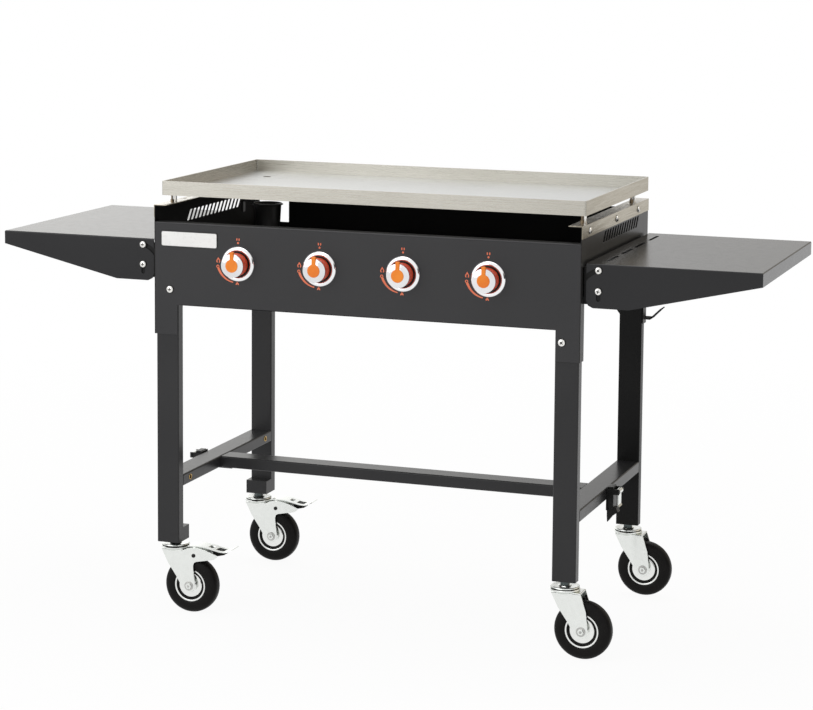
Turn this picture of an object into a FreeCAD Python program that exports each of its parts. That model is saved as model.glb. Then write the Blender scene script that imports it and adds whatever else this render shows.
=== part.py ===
# Outdoor gas griddle station on a rolling leg frame, with two folding side shelves.
# Frame: +Z up, +X to the user's right, the user stands at -Y. Origin on the floor under the body's middle.
import FreeCAD, Part
import os
from math import cos, pi, radians, sin
from FreeCAD import Vector

# Body shell
BODY_W = 930.0
BODY_D = 532.0
SHEET = 1.5
SIDE_TOP = 877.0
FRONT_TOP = 843.0
PANEL_BOTTOM = 668.0
POST_BOTTOM = 605.0
POST_W = 50.0
POST_D = 42.0
VENT_COUNT = 14
VENT_PITCH = 20.2
VENT_FIRST_Y = -99.0
VENT_BOTTOM = 826.0
VENT_RISE = 23.0
VENT_LEAN = 17.0
VENT_WIDTH = 8.0
TRIM_H = 25.0
TRIM_T = 1.2
TRIM_SCREWS_Y = (-200.0, -8.0, 184.0)

# Griddle plate
PLATE_W = 928.0
PLATE_D = 505.0
PLATE_Y = 19.5
PLATE_BOTTOM = 895.0
PLATE_H = 30.0
PLATE_WALL = 3.0
PLATE_FLOOR = 4.0
PLATE_CORNER = 4.5
DRAIN = (-389.0, 158.0)
DRAIN_R = 9.0
FOOT_X = 450.0
FOOT_YS = (-205.0, 183.0)

# Gas train
KNOB_PITCH = 182.0
KNOB_Z = 763.0
BURNER_R = 13.0
BURNER_MOUTH_Y = -172.0
BURNER_END_Y = 240.0
PORT_PITCH = 28
BURNER_RAILS_Y = (-50.0, 223.0)
MANIFOLD_Y = -199.0
MANIFOLD_R = 10.0
VALVE_LENGTH = 34.0
STEM_R = 4.0
INLET_R = 8.0
INLET_X = 373.0
INLET_BLOCK = 11.0

# Knobs
BEZEL_R = 37.0
KNOB_R = 28.5
KNOB_BASE_GAP = 6.0
KNOB_LENGTH = 27.0
PUSH = 3.0

# Grease cup
CUP_R = 31.0
CUP_BOTTOM = 762.0
CUP_RIM = 839.0
CUP_WALL = 1.2
CUT_OUT_X = (-453.0, -380.0)
CUT_OUT_BOTTOM = 784.0

# Side shelves
SHELF_L = 354.0
SHELF_D = 508.0
SHELF_GAP = 7.0
SHELF_TOP = 804.0
SHELF_EDGE = 28.0
SHELF_LOW = 715.0
BOLT_OUT = 32.0
UPPER_BOLT_Z = 791.0
LOWER_BOLT_Z = 749.0
SHELF_LIFT = 16.0
SHELF_BOLT_R = 4.0
SLOT_R = 4.8
FOLD_R = 2.4

# Leg frame
LEG_X = 437.0
LEG_W = 50.0
LEG_T = 25.0
LEG_WALL = 1.5
TUBE_CORNER = 3.0
LEG_Y = 250.5
LEG_BOTTOM = 156.0
PIVOT_LEFT_Z = 701.0
PIVOT_RIGHT_Z = 644.0
BAR_TOP = 300.0
BAR_H = 25.0
STRETCHER_Y = -20.0
BLOCK_T = 27.0
BLOCK_H = 30.0

# Latches on the crossbars
LATCH_PIN_OUT = 24.0
LATCH_PIN_DROP = 6.0
LATCH_PIN_R = 2.5
LATCH_HALF = 17.0
LATCH_BLADE = 32.0
RACE_R = 31.0
UPPER_RACE_R = 29.5

# Casters
WHEEL_R = 60.0
TYRE_W = 32.0
RIM_R = 35.5
RIM_LIP = 31.0
HUB_DISC_R = 27.0
AXLE_R = 5.0
TRAIL = 40.0
KINGPIN_R = 6.0
FORK_TOP = 138.0
FORK_T = 2.5
FORK_HALF = TYRE_W / 2 + 2.5
PEDAL_PIVOT = (51.0, 127.0)
PEDAL_PIN_R = 2.5

# Black cradle under the right rear corner
CRADLE_DEPTH = 37.0

# Clearances
RUNNING = 0.05
APART = 0.4


def box(x0, x1, y0, y1, z0, z1):
    """Box between two corners, given in any order."""
    xs, ys, zs = sorted((x0, x1)), sorted((y0, y1)), sorted((z0, z1))
    return Part.makeBox(xs[1] - xs[0], ys[1] - ys[0], zs[1] - zs[0], Vector(xs[0], ys[0], zs[0]))


def rod(start, end, radius):
    """Solid cylinder between two points."""
    a, b = Vector(*start), Vector(*end)
    return Part.makeCylinder(radius, (b - a).Length, a, b - a)


def ring(start, end, outer, inner):
    """Tube between two points."""
    return rod(start, end, outer).cut(rod(start, end, inner))


def fuse(shapes):
    """One solid from touching or overlapping shapes."""
    first = shapes[0]
    return first.multiFuse(shapes[1:]).removeSplitter() if len(shapes) > 1 else first


def prism(points, direction):
    """Solid swept along a vector from a closed flat outline."""
    wire = Part.makePolygon([Vector(*p) for p in points + points[:1]])
    return Part.Face(wire).extrude(Vector(*direction))


def turned(profile, centre):
    """Solid of revolution about the line parallel to Y through a point; profile is (y, radius)."""
    cx, cy, cz = centre
    points = [Vector(cx + r, cy + y, cz) for y, r in profile]
    face = Part.Face(Part.makePolygon(points + points[:1]))
    return face.revolve(Vector(cx, cy, cz), Vector(0, 1, 0), 360)


def mirrored(shape):
    """The same shape on the other side of the body's middle plane."""
    return shape.mirror(Vector(0, 0, 0), Vector(1, 0, 0))


def rounded_slab(x0, x1, y0, y1, z0, z1, radius, along="z"):
    """Box with rounded edges along one direction."""
    slab = box(x0, x1, y0, y1, z0, z1)
    axis = {"x": Vector(1, 0, 0), "y": Vector(0, 1, 0), "z": Vector(0, 0, 1)}[along]
    edges = [e for e in slab.Edges if abs((e.Vertexes[1].Point - e.Vertexes[0].Point) * axis) > 1e-6]
    return slab.makeFillet(radius, edges)


def pan_screw(head, out, radius, thickness, shank_r, shank):
    """Pan-head screw: head is the point under the head, out the way the head faces."""
    base, axis = Vector(*head), Vector(*out)
    across = Vector(0, 0, 1)
    profile = [(-shank, 0), (-shank, shank_r), (0, shank_r), (0, radius), (0.45 * thickness, radius),
               (0.8 * thickness, 0.86 * radius), (thickness, 0.6 * radius), (thickness, 0)]
    points = [base + axis * along + across * r for along, r in profile]
    face = Part.Face(Part.makePolygon(points + points[:1]))
    return face.revolve(base, axis, 360)


knob_xs = [KNOB_PITCH * (i - 1.5) for i in range(4)]
half_w = BODY_W / 2
half_d = BODY_D / 2


def front_panel():
    """Front sheet between the side panels, with corner tabs, folded top and bottom edges and stem holes."""
    x = half_w - SHEET
    back = -half_d + SHEET
    sheet = [
        box(-x, x, -half_d, back, PANEL_BOTTOM, FRONT_TOP),
        box(-x, -x + POST_W, -half_d, back, POST_BOTTOM, PANEL_BOTTOM),
        box(x - POST_W, x, -half_d, back, POST_BOTTOM, PANEL_BOTTOM),
        box(-x, x, -half_d, -half_d + 22, FRONT_TOP - SHEET, FRONT_TOP),
        box(-x + POST_W + 8, x - POST_W - 8, -half_d, -half_d + 14, PANEL_BOTTOM, PANEL_BOTTOM + SHEET),
    ]
    panel = fuse(sheet)
    panel = panel.cut([rod((kx, -half_d - 1, KNOB_Z), (kx, back + 1, KNOB_Z), STEM_R + 2) for kx in knob_xs])
    bolts = [(-LEG_X, PIVOT_LEFT_Z), (LEG_X, PIVOT_RIGHT_Z)]
    return panel.cut([rod((bx, -half_d - 1, bz), (bx, back + 1, bz), 4.2) for bx, bz in bolts])


def rear_panel():
    """Rear sheet with corner tabs and the cut-out beside the grease cup."""
    x = half_w - SHEET
    face = half_d - SHEET
    sheet = [
        box(-x, x, face, half_d, PANEL_BOTTOM, FRONT_TOP + 14),
        box(-x, -x + POST_W, face, half_d, POST_BOTTOM, PANEL_BOTTOM),
        box(x - POST_W, x, face, half_d, POST_BOTTOM, PANEL_BOTTOM),
        box(-x + POST_W + 8, x - POST_W - 8, half_d - 14, half_d, PANEL_BOTTOM, PANEL_BOTTOM + SHEET),
    ]
    panel = fuse(sheet).cut(box(*CUT_OUT_X, face - 1, half_d + 1, CUT_OUT_BOTTOM, FRONT_TOP + 20))
    bolts = [(-LEG_X, PIVOT_LEFT_Z), (LEG_X, PIVOT_RIGHT_Z)]
    return panel.cut([rod((bx, face - 1, bz), (bx, half_d + 1, bz), 4.2) for bx, bz in bolts])


def vent(y):
    """One slanted vent slot through the right side panel, its lower end at y."""
    x0 = half_w - SHEET - 1
    w = VENT_WIDTH / 2
    top = VENT_BOTTOM + VENT_RISE
    points = [(x0, y - w, VENT_BOTTOM), (x0, y + w, VENT_BOTTOM),
              (x0, y + w + VENT_LEAN, top), (x0, y - w + VENT_LEAN, top)]
    slot = prism(points, (SHEET + 2, 0, 0))
    along_x = [e for e in slot.Edges if abs(e.Vertexes[0].X - e.Vertexes[1].X) > 1]
    return slot.makeFillet(2.4, along_x)


def side_panel():
    """Right side sheet with vent slots, corner tabs and an inward top flange."""
    x0, x1 = half_w - SHEET, half_w
    sheet = [
        box(x0, x1, -half_d, half_d, PANEL_BOTTOM, SIDE_TOP),
        box(x0, x1, -half_d, -half_d + POST_D, POST_BOTTOM, PANEL_BOTTOM),
        box(x0, x1, half_d - POST_D, half_d, POST_BOTTOM, PANEL_BOTTOM),
        box(x1 - 24, x1, -half_d, half_d, SIDE_TOP - SHEET, SIDE_TOP),
    ]
    return fuse(sheet).cut([vent(VENT_FIRST_Y + VENT_PITCH * i) for i in range(VENT_COUNT)])


def side_trim():
    """Bright angle over the right side panel's top edge."""
    upright = box(half_w, half_w + TRIM_T, -half_d, half_d, SIDE_TOP - TRIM_H, SIDE_TOP + TRIM_T)
    lying = box(half_w - 28, half_w, -half_d, half_d, SIDE_TOP, SIDE_TOP + TRIM_T)
    z = SIDE_TOP - TRIM_H / 2
    holes = [rod((half_w - 1, y, z), (half_w + TRIM_T + 1, y, z), 1.9) for y in TRIM_SCREWS_Y]
    return fuse([upright, lying]).cut(holes)


def trim_screws():
    """Three pan screws on each trim."""
    z = SIDE_TOP - TRIM_H / 2
    screws = [pan_screw((half_w + TRIM_T, y, z), (1, 0, 0), 4.0, 2.2, 1.8, TRIM_T) for y in TRIM_SCREWS_Y]
    return screws + [mirrored(s) for s in screws]


def griddle_plate():
    """Shallow steel tray with a drain hole."""
    x, y0 = PLATE_W / 2, PLATE_Y - PLATE_D / 2
    y1, top = y0 + PLATE_D, PLATE_BOTTOM + PLATE_H
    tray = rounded_slab(-x, x, y0, y1, PLATE_BOTTOM, top, PLATE_CORNER)
    inner = rounded_slab(-x + PLATE_WALL, x - PLATE_WALL, y0 + PLATE_WALL, y1 - PLATE_WALL,
                         PLATE_BOTTOM + PLATE_FLOOR, top + 1, PLATE_CORNER - PLATE_WALL)
    hole = rod((*DRAIN, PLATE_BOTTOM - 1), (*DRAIN, PLATE_BOTTOM + PLATE_FLOOR + 1), DRAIN_R)
    return tray.cut([inner, hole])


def plate_feet():
    """Four short bushes between the plate and the trims."""
    low = SIDE_TOP + TRIM_T + 0.05
    return [ring((sx * FOOT_X, y, low), (sx * FOOT_X, y, PLATE_BOTTOM), 7.0, 2.5)
            for sx in (-1, 1) for y in FOOT_YS]


def burner(kx):
    """Straight tube burner with a flared mouth behind its valve and port slots along both sides."""
    mouth_y, end_y = BURNER_MOUTH_Y, BURNER_END_Y
    tube = rod((kx, mouth_y, KNOB_Z), (kx, end_y, KNOB_Z), BURNER_R)
    mouth = turned([(-14, 0), (-14, 18), (2, 18), (12, BURNER_R - 1), (12, 0)], (kx, mouth_y, KNOB_Z))
    bore = rod((kx, mouth_y - 20, KNOB_Z), (kx, end_y - 3, KNOB_Z), BURNER_R - 1.5)
    ports = [box(kx - 20, kx + 20, y, y + 12, KNOB_Z + 3, KNOB_Z + 5.5) for y in range(-28, 205, PORT_PITCH)]
    return tube.fuse(mouth).cut([bore] + ports)


def burner_rails():
    """Front and rear angle rails between the side panels that carry the burners."""
    x = half_w - SHEET - 0.1
    under = KNOB_Z - BURNER_R - 0.1
    rails = []
    for y in BURNER_RAILS_Y:
        flat = box(-x, x, y - 12, y + 12, under - 2, under)
        upright = box(-x, x, y + 10, y + 12, under - 26, under - 2)
        rails.append(fuse([flat, upright]))
    return rails


def manifold():
    """Gas pipe behind the valves, closed at its left end."""
    end = INLET_X - INLET_BLOCK
    pipe = rod((knob_xs[0] - 40, MANIFOLD_Y, KNOB_Z), (end, MANIFOLD_Y, KNOB_Z), MANIFOLD_R)
    bore = rod((knob_xs[0] - 30, MANIFOLD_Y, KNOB_Z), (end + 1, MANIFOLD_Y, KNOB_Z), MANIFOLD_R - 2)
    return pipe.cut(bore)


def gas_valve(kx):
    """Brass valve body between the stem and the manifold, with a jet that points into the burner."""
    front = MANIFOLD_Y - MANIFOLD_R - VALVE_LENGTH
    body = box(kx - 12, kx + 12, front, MANIFOLD_Y - MANIFOLD_R, KNOB_Z - 15, KNOB_Z + 15)
    body = body.makeFillet(4, [e for e in body.Edges if abs(e.Vertexes[0].Y - e.Vertexes[1].Y) > 1])
    boss = rod((kx, front - 6, KNOB_Z), (kx, front, KNOB_Z), 9)
    jet_y = MANIFOLD_Y + MANIFOLD_R
    jet = turned([(0, 0), (0, 7), (4, 7), (4, 4), (9, 2.5), (9, 0)], (kx, jet_y, KNOB_Z))
    bore = rod((kx, front - 7, KNOB_Z), (kx, front + 12, KNOB_Z), STEM_R + RUNNING)
    return [body.fuse(boss).cut(bore).removeSplitter(), jet]


def valve_stem(kx):
    """Stem that turns in the valve and carries the knob."""
    front = MANIFOLD_Y - MANIFOLD_R - VALVE_LENGTH
    tip = -half_d - KNOB_BASE_GAP - 14
    return rod((kx, tip, KNOB_Z), (kx, front + 11, KNOB_Z), STEM_R)


def knob(kx):
    """Knob with a chamfered face, a raised keyhole pointer and a blind bore for the stem."""
    base = -half_d - KNOB_BASE_GAP
    face = base - KNOB_LENGTH
    depth = KNOB_LENGTH
    profile = [(0, 0), (0, KNOB_R), (-3, KNOB_R + 0.8), (-depth + 9, KNOB_R - 1.5), (-depth + 3, KNOB_R - 4),
               (-depth, KNOB_R - 8), (-depth, 0)]
    body = turned(profile, (kx, base, KNOB_Z))
    disc = rod((kx, face - 4, KNOB_Z), (kx, face + 1, KNOB_Z), 13.5)
    neck = box(kx - 6, kx + 6, face - 4, face + 4, KNOB_Z, KNOB_Z + KNOB_R - 3)
    bore = rod((kx, base + 1, KNOB_Z), (kx, base - 14 - PUSH - 1.5, KNOB_Z), STEM_R + RUNNING)
    return body.fuse([disc, neck]).cut(bore).removeSplitter()


def bezel(kx):
    """Chromed ring around the knob's foot."""
    profile = [(0, BEZEL_R), (-4, BEZEL_R), (-8, BEZEL_R - 2.5), (-8, BEZEL_R - 4.5), (-3, KNOB_R + 3),
               (0, KNOB_R + 3)]
    return turned(profile, (kx, -half_d, KNOB_Z))


def igniter(kx):
    """Spark electrode beside the burner, on a foot that rests on the front rail."""
    x = kx + 20
    y = BURNER_RAILS_Y[0] - 4
    rail = KNOB_Z - BURNER_R - 0.1
    foot = box(x - 6, x + 6, y - 5, y + 5, rail, rail + 2)
    insulator = rod((x, y, rail + 2), (x, y, rail + 20), 3.5)
    wire = rod((x, y, rail + 20), (x, y, rail + 32), 0.9)
    return fuse([foot, insulator, wire])


def gas_inlet():
    """Brass elbow on the manifold's right end, with its thread pointing down."""
    x0, x1 = INLET_X - INLET_BLOCK, INLET_X + INLET_BLOCK
    block = box(x0, x1, MANIFOLD_Y - 9, MANIFOLD_Y + 9, KNOB_Z - 10, KNOB_Z + 10)
    nose = rod((INLET_X, MANIFOLD_Y, KNOB_Z - 34), (INLET_X, MANIFOLD_Y, KNOB_Z - 10), INLET_R)
    bore = rod((INLET_X, MANIFOLD_Y, KNOB_Z - 35), (INLET_X, MANIFOLD_Y, KNOB_Z), 4)
    return block.fuse(nose).cut(bore).removeSplitter()


def cup_bracket():
    """Sheet arm from the left side panel with a round hole that the cup hangs in."""
    x0 = -half_w + SHEET + 0.05
    x1 = DRAIN[0] + CUP_R + 14
    z1 = CUP_RIM - 1.6
    y = DRAIN[1] + 8
    arm = rounded_slab(x0 + 1, x1, y - 38, y + 38, z1 - 2, z1, 10)
    arm = fuse([arm, box(x0, x0 + 12, y - 38, y + 38, z1 - 2, z1), box(x0, x0 + 2, y - 38, y + 38, z1 - 26, z1)])
    return arm.cut(rod((DRAIN[0] - 2, y, z1 - 3), (DRAIN[0] - 2, y, z1 + 1), CUP_R + 1.2))


def grease_cup():
    """Tapered cup with a rolled rim."""
    x, y = DRAIN[0] - 2, DRAIN[1] + 8
    outer = Part.makeCone(CUP_R - 4, CUP_R, CUP_RIM - CUP_BOTTOM, Vector(x, y, CUP_BOTTOM))
    inner = Part.makeCone(CUP_R - 4 - CUP_WALL, CUP_R - CUP_WALL, CUP_RIM - CUP_BOTTOM,
                          Vector(x, y, CUP_BOTTOM + 1.5))
    rim = ring((x, y, CUP_RIM - 1.2), (x, y, CUP_RIM), CUP_R + 4.5, CUP_R - CUP_WALL)
    return outer.fuse(rim).cut(inner).removeSplitter()


def shelf_slot_path():
    """Where the upper bolt lies in the right shelf's flange as the shelf folds, as (x, z) points."""
    d = UPPER_BOLT_Z - LOWER_BOLT_Z
    steps = 12
    points = []
    for i in range(steps + 1):
        turn = radians(48.0 * i / steps)
        drop = SHELF_LIFT * turn / (pi / 2)
        points.append((half_w + BOLT_OUT - d * sin(turn), UPPER_BOLT_Z + d * cos(turn) - d - drop))
    return points


def shelf_outline(x_in, x_out, low):
    """Side view of the shelf, as (x, z) points; low is how far its flanges reach down."""
    top, edge = SHELF_TOP, SHELF_TOP - SHELF_EDGE
    return [(x_in, top), (x_out, top), (x_out, edge), (x_in + 87, low), (x_in + 14, low),
            (x_in + 4, low + 5), (x_in, low + 15)]


def shelf():
    """Right shelf: folded sheet with tapering front and rear flanges, hook slots and pivot slots."""
    x_in, x_out = half_w + SHELF_GAP, half_w + SHELF_GAP + SHELF_L
    y, top, t = SHELF_D / 2, SHELF_TOP, SHEET
    body = prism([(px, -y, pz) for px, pz in shelf_outline(x_in, x_out, SHELF_LOW)], (0, 2 * y, 0))
    folds = [e for e in body.Edges
             if all(v.Z > top - 1 for v in e.Vertexes)
             and (abs(e.Vertexes[0].X - e.Vertexes[1].X) > 1 or e.Vertexes[0].X > x_out - 1)]
    body = body.makeFillet(FOLD_R, folds)
    body = body.cut(box(x_in - 1, x_out - t, -y + t, y - t, SHELF_LOW - 1, top - t))
    inner_lip = box(x_in, x_in + t, -y + 16, y - 16, top - 14, top)
    body = fuse([body, inner_lip])
    cuts = []
    bx = half_w + BOLT_OUT
    for side in (-1, 1):
        yf = -y if side < 0 else y - t
        path = shelf_slot_path()
        cuts += [slot_piece(a, b, SLOT_R, yf) for a, b in zip(path, path[1:])]
        cuts.append(slot_piece((bx, LOWER_BOLT_Z), (bx, LOWER_BOLT_Z - SHELF_LIFT), SHELF_BOLT_R + 0.25, yf))
    slots = []
    for yc in (-166.0, -52.0, 53.0, 171.0):
        half = 36.0
        xs = x_in + 30
        cutter = box(xs - 3.5, xs + 3.5, yc - half, yc + half, top - 3, top + 1)
        slots += [cutter, rod((xs, yc - half, top - 3), (xs, yc - half, top + 1), 3.5),
                  rod((xs, yc + half, top - 3), (xs, yc + half, top + 1), 3.5)]
    return body.cut(cuts), slots


def slot_piece(a, b, radius, y):
    """Cutter for one straight stretch of a slot in a flange at y."""
    y0, y1 = y - 1, y + SHEET + 1
    ends = [rod((p[0], y0, p[1]), (p[0], y1, p[1]), radius) for p in (a, b)]
    along = Vector(b[0] - a[0], 0, b[1] - a[1])
    side = Vector(-along.z, 0, along.x).normalize() * radius
    corners = [Vector(a[0], y0, a[1]) + side, Vector(b[0], y0, b[1]) + side,
               Vector(b[0], y0, b[1]) - side, Vector(a[0], y0, a[1]) - side]
    bar = prism([tuple(c) for c in corners], (0, y1 - y0, 0))
    return ends[0].fuse([ends[1], bar])


def shelf_bracket():
    """Channel on the right side panel whose two ears carry the shelf bolts."""
    ear_y = SHELF_D / 2 - SHEET - 0.8
    x0 = half_w + 0.05
    x1 = half_w + BOLT_OUT + 11
    z0, z1 = LOWER_BOLT_Z - 12, SHELF_TOP - 8
    web = box(x0, x0 + 2, -ear_y, ear_y, z0, z1)
    ears = []
    for side in (-1, 1):
        ear = box(x0, x1, side * (ear_y - 2.5), side * ear_y, z0, z1)
        holes = [rod((half_w + BOLT_OUT, side * (ear_y - 4), z), (half_w + BOLT_OUT, side * (ear_y + 1), z),
                     SHELF_BOLT_R + r) for z, r in ((UPPER_BOLT_Z, 0.0), (LOWER_BOLT_Z, RUNNING))]
        ears.append(ear.cut(holes))
    return fuse([web] + ears)


def shelf_bolt(side, z):
    """Pan-head bolt through flange and ear at the front (-1) or rear (1)."""
    y = side * (SHELF_D / 2 + 0.4)
    x = half_w + BOLT_OUT
    inner = side * (SHELF_D / 2 - SHEET - 0.8 - 2.5)
    bolt = pan_screw((x, y, z), (0, side, 0), 7.0, 4.2, SHELF_BOLT_R, abs(y - inner) + 9)
    nut = ring((x, inner - side * 0.4, z), (x, inner - side * 6.0, z), 7.0, SHELF_BOLT_R)
    return fuse([bolt, nut])


def leg(x, side, pivot_z, block):
    """Rectangular tube leg with a rounded top, a welded foot plate and, on the left, a caster block."""
    y = side * LEG_Y
    w = LEG_WALL

    def outline(inset, bottom):
        """Solid leg shape, set in on all sides."""
        x0, x1 = x - LEG_W / 2 + inset, x + LEG_W / 2 - inset
        y0, y1 = y - LEG_T / 2 + inset, y + LEG_T / 2 - inset
        bar = rounded_slab(x0, x1, y0, y1, bottom, pivot_z + LEG_W, TUBE_CORNER - inset)
        head = rod((x, y0 - 1, pivot_z), (x, y1 + 1, pivot_z), LEG_W / 2 - inset)
        return bar.common(head.fuse(box(x0 - 1, x1 + 1, y0 - 1, y1 + 1, bottom - 1, pivot_z)))

    shape = outline(0, LEG_BOTTOM).cut(outline(w, LEG_BOTTOM + 3))
    shape = shape.cut(rod((x, y - LEG_T, pivot_z), (x, y + LEG_T, pivot_z), 4.0))
    if block:
        yb = y - side * (LEG_T + BLOCK_T) / 2
        joint_y = y - side * LEG_T / 2
        far_y = yb - side * BLOCK_T / 2
        shape = shape.fuse(box(x - LEG_W / 2, x + LEG_W / 2, joint_y + side * TUBE_CORNER, far_y,
                               LEG_BOTTOM, LEG_BOTTOM + BLOCK_H).cut(
            box(x - LEG_W / 2 + w, x + LEG_W / 2 - w, joint_y + side * (TUBE_CORNER + 1), joint_y + side * w,
                LEG_BOTTOM + 3, LEG_BOTTOM + BLOCK_H)))
        return shape.cut(rod((x, yb, LEG_BOTTOM - 1), (x, yb, LEG_BOTTOM + 24), KINGPIN_R)).removeSplitter()
    return shape.cut(rod((x, y, LEG_BOTTOM - 1), (x, y, LEG_BOTTOM + 4), KINGPIN_R)).removeSplitter()


def leg_bolts():
    """Bolts through panel and leg, with nuts inside."""
    bolts = []
    for x, z in ((-LEG_X, PIVOT_LEFT_Z), (LEG_X, PIVOT_RIGHT_Z)):
        for side in (-1, 1):
            inner = LEG_Y - LEG_T / 2
            bolt = pan_screw((x, side * (half_d + 0.05), z), (0, side, 0), 7.5, 4.5, 3.9, half_d - inner + 8)
            nut = ring((x, side * (inner - 0.1), z), (x, side * (inner - 6), z), 7, 3.9)
            bolts.append(fuse([bolt, nut]))
    return bolts


def crossbar(side):
    """Front to rear tube between two legs, with a ledge that the stretcher rests on."""
    x = side * LEG_X
    y = LEG_Y - LEG_T / 2 - 0.02
    w = LEG_WALL
    z0 = BAR_TOP - BAR_H
    x0, x1 = x - LEG_W / 2, x + LEG_W / 2
    tube = rounded_slab(x0, x1, -y, y, z0, BAR_TOP, TUBE_CORNER, "y").cut(
        rounded_slab(x0 + w, x1 - w, -y - 1, y + 1, z0 + w, BAR_TOP - w, TUBE_CORNER - w, "y"))
    inner = side * (LEG_X - LEG_W / 2)
    ledge = box(inner, inner - side * 24, STRETCHER_Y - 20, STRETCHER_Y + 20, z0 - 3, z0 - 1)
    hanger = box(inner, inner + side * 10, STRETCHER_Y - 20, STRETCHER_Y + 20, z0 - 3, z0)
    shape = tube.fuse([ledge, hanger])
    if side < 0:
        sockets = [rod((inner - 5, yh, z0 + 13), (inner + 1, yh, z0 + 13), 4) for yh in (-204.0, 204.0)]
        shape = shape.cut(sockets)
    return shape.removeSplitter()


def stretcher():
    """Left to right tube that rests on the crossbars' ledges."""
    x = LEG_X - LEG_W / 2 - APART
    w = LEG_WALL
    z0, z1 = BAR_TOP - BAR_H - 0.9, BAR_TOP - 0.9
    y0, y1 = STRETCHER_Y - LEG_W / 2, STRETCHER_Y + LEG_W / 2
    return rounded_slab(-x, x, y0, y1, z0, z1, TUBE_CORNER, "x").cut(
        rounded_slab(-x - 1, x + 1, y0 + w, y1 - w, z0 + w, z1 - w, TUBE_CORNER - w, "x"))


def latch_base():
    """Black block on the right crossbar's outer face, with two ears, a pin and a pointed catch below."""
    x0 = LEG_X + LEG_W / 2 + 0.05
    px, pz = x0 + LATCH_PIN_OUT, BAR_TOP - LATCH_PIN_DROP
    y0, y1 = STRETCHER_Y - LATCH_HALF, STRETCHER_Y + LATCH_HALF
    plate = box(x0, x0 + 3, y0, y1, BAR_TOP - 46, BAR_TOP + 3)
    column = box(x0 + 2, x0 + 15, y0 + 3, y1 - 3, BAR_TOP - 32, BAR_TOP + 4)
    ears = [box(x0, px + 4, y, y + 3, pz - 6, pz + 6) for y in (y0, y1 - 3)]
    pin = rod((px, y0 - 2, pz), (px, y1 + 2, pz), LATCH_PIN_R)
    side = [(0, -38), (20, -41), (24, -50), (11, -60), (1, -73), (0, -60)]
    catch = prism([(x0 + dx, y0 + 8, BAR_TOP + dz) for dx, dz in side], (0, y1 - y0 - 16, 0))
    return fuse([plate, column] + ears + [pin, catch])


def latch_lever():
    """Bright lever that hangs from the latch pin."""
    px, pz = LEG_X + LEG_W / 2 + 0.05 + LATCH_PIN_OUT, BAR_TOP - LATCH_PIN_DROP
    y0, y1 = STRETCHER_Y - 12, STRETCHER_Y + 12
    eye = rod((px, y0, pz), (px, y1, pz), 5.5)
    low = pz - LATCH_BLADE
    blade = box(px - 1.5, px + 1.5, y0, y1, low + 4, pz)
    toe = prism([(px - 1.5, y0, low + 4), (px + 1.5, y0, low + 4), (px + 4, y0, low), (px + 1, y0, low)],
                (0, y1 - y0, 0))
    bore = rod((px, y0 - 1, pz), (px, y1 + 1, pz), LATCH_PIN_R + RUNNING)
    return fuse([eye, blade, toe]).cut(bore)


def rear_cradle():
    """Black bent strip under the right rear corner, with both ends flared up."""
    y0, y1 = half_d + 0.05, half_d + CRADLE_DEPTH
    z = 611.0
    t = 2.0
    points = [(399, z + 17), (412, z), (474, z), (498, z + 24), (498 - t, z + 24 + t * 0.6), (474 - t, z + t),
              (412 + t, z + t), (399 + t, z + 17 + t)]
    strip = prism([(px, y0, pz) for px, pz in points], (0, y1 - y0, 0))
    tab = box(424, 460, y0, y0 + 2, z, z + 23)
    return fuse([strip, tab])


def caster_stem(x, y):
    """Threaded stem with its upper race, nut and kingpin; fixed in the leg."""
    low = FORK_TOP + 6.3
    return fuse([
        rod((x, y, low), (x, y, low + 4), UPPER_RACE_R),
        hexagon(x, y, low + 4, LEG_BOTTOM - 0.05 - low - 4, 10),
        rod((x, y, low), (x, y, LEG_BOTTOM + 20), KINGPIN_R),
        rod((x, y, FORK_TOP - 6), (x, y, low), KINGPIN_R),
        rod((x, y, FORK_TOP - 9), (x, y, FORK_TOP - 3.4), 9),
    ])


def hexagon(x, y, z, height, radius):
    """Upright hexagonal prism."""
    points = [(x + radius * cos(radians(a)), y + radius * sin(radians(a)), z) for a in range(0, 360, 60)]
    return prism(points, (0, 0, height))


def fork(x, y, pedal):
    """Caster fork: swivel race, crown and two tapering arms that carry the axle."""
    half, t = FORK_HALF, FORK_T
    race = rod((x, y, FORK_TOP), (x, y, FORK_TOP + 6), RACE_R)
    disc = rod((x, y, FORK_TOP - 3), (x, y, FORK_TOP), 25)
    crown = box(x - 24, x + (28 if pedal else 38), y - half - t, y + half + t, FORK_TOP - 3, FORK_TOP)
    outline = [(-24, FORK_TOP), (38, FORK_TOP), (50, 101), (54, WHEEL_R), (28.5, 52)]
    if pedal:
        outline[1:3] = [(28, FORK_TOP), (45, 144), (61, 144), (88, 137.5), (107, 131), (97, 122), (57, 114),
                        (50, 107)]
    arms = []
    for side in (-1, 1):
        ya = y + side * half
        arms.append(prism([(x + px, ya, pz) for px, pz in outline], (0, side * t, 0)))
        arms.append(rod((x + TRAIL, ya, WHEEL_R), (x + TRAIL, ya + side * t, WHEEL_R), 14))
    axle = rod((x + TRAIL, y - half - t - 4, WHEEL_R), (x + TRAIL, y + half + t + 4, WHEEL_R), AXLE_R)
    heads = [rod((x + TRAIL, y + s * (half + t), WHEEL_R), (x + TRAIL, y + s * (half + t + 4.5), WHEEL_R), 8)
             for s in (-1, 1)]
    pieces = [race, disc, crown] + arms + [axle] + heads
    if pedal:
        px, pz = PEDAL_PIVOT
        pieces.append(rod((x + px, y - half - t - 1, pz), (x + px, y + half + t + 1, pz), PEDAL_PIN_R))
    bore = rod((x, y, FORK_TOP - 4), (x, y, FORK_TOP + 10), KINGPIN_R + RUNNING)
    return fuse(pieces).cut(bore)


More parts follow.
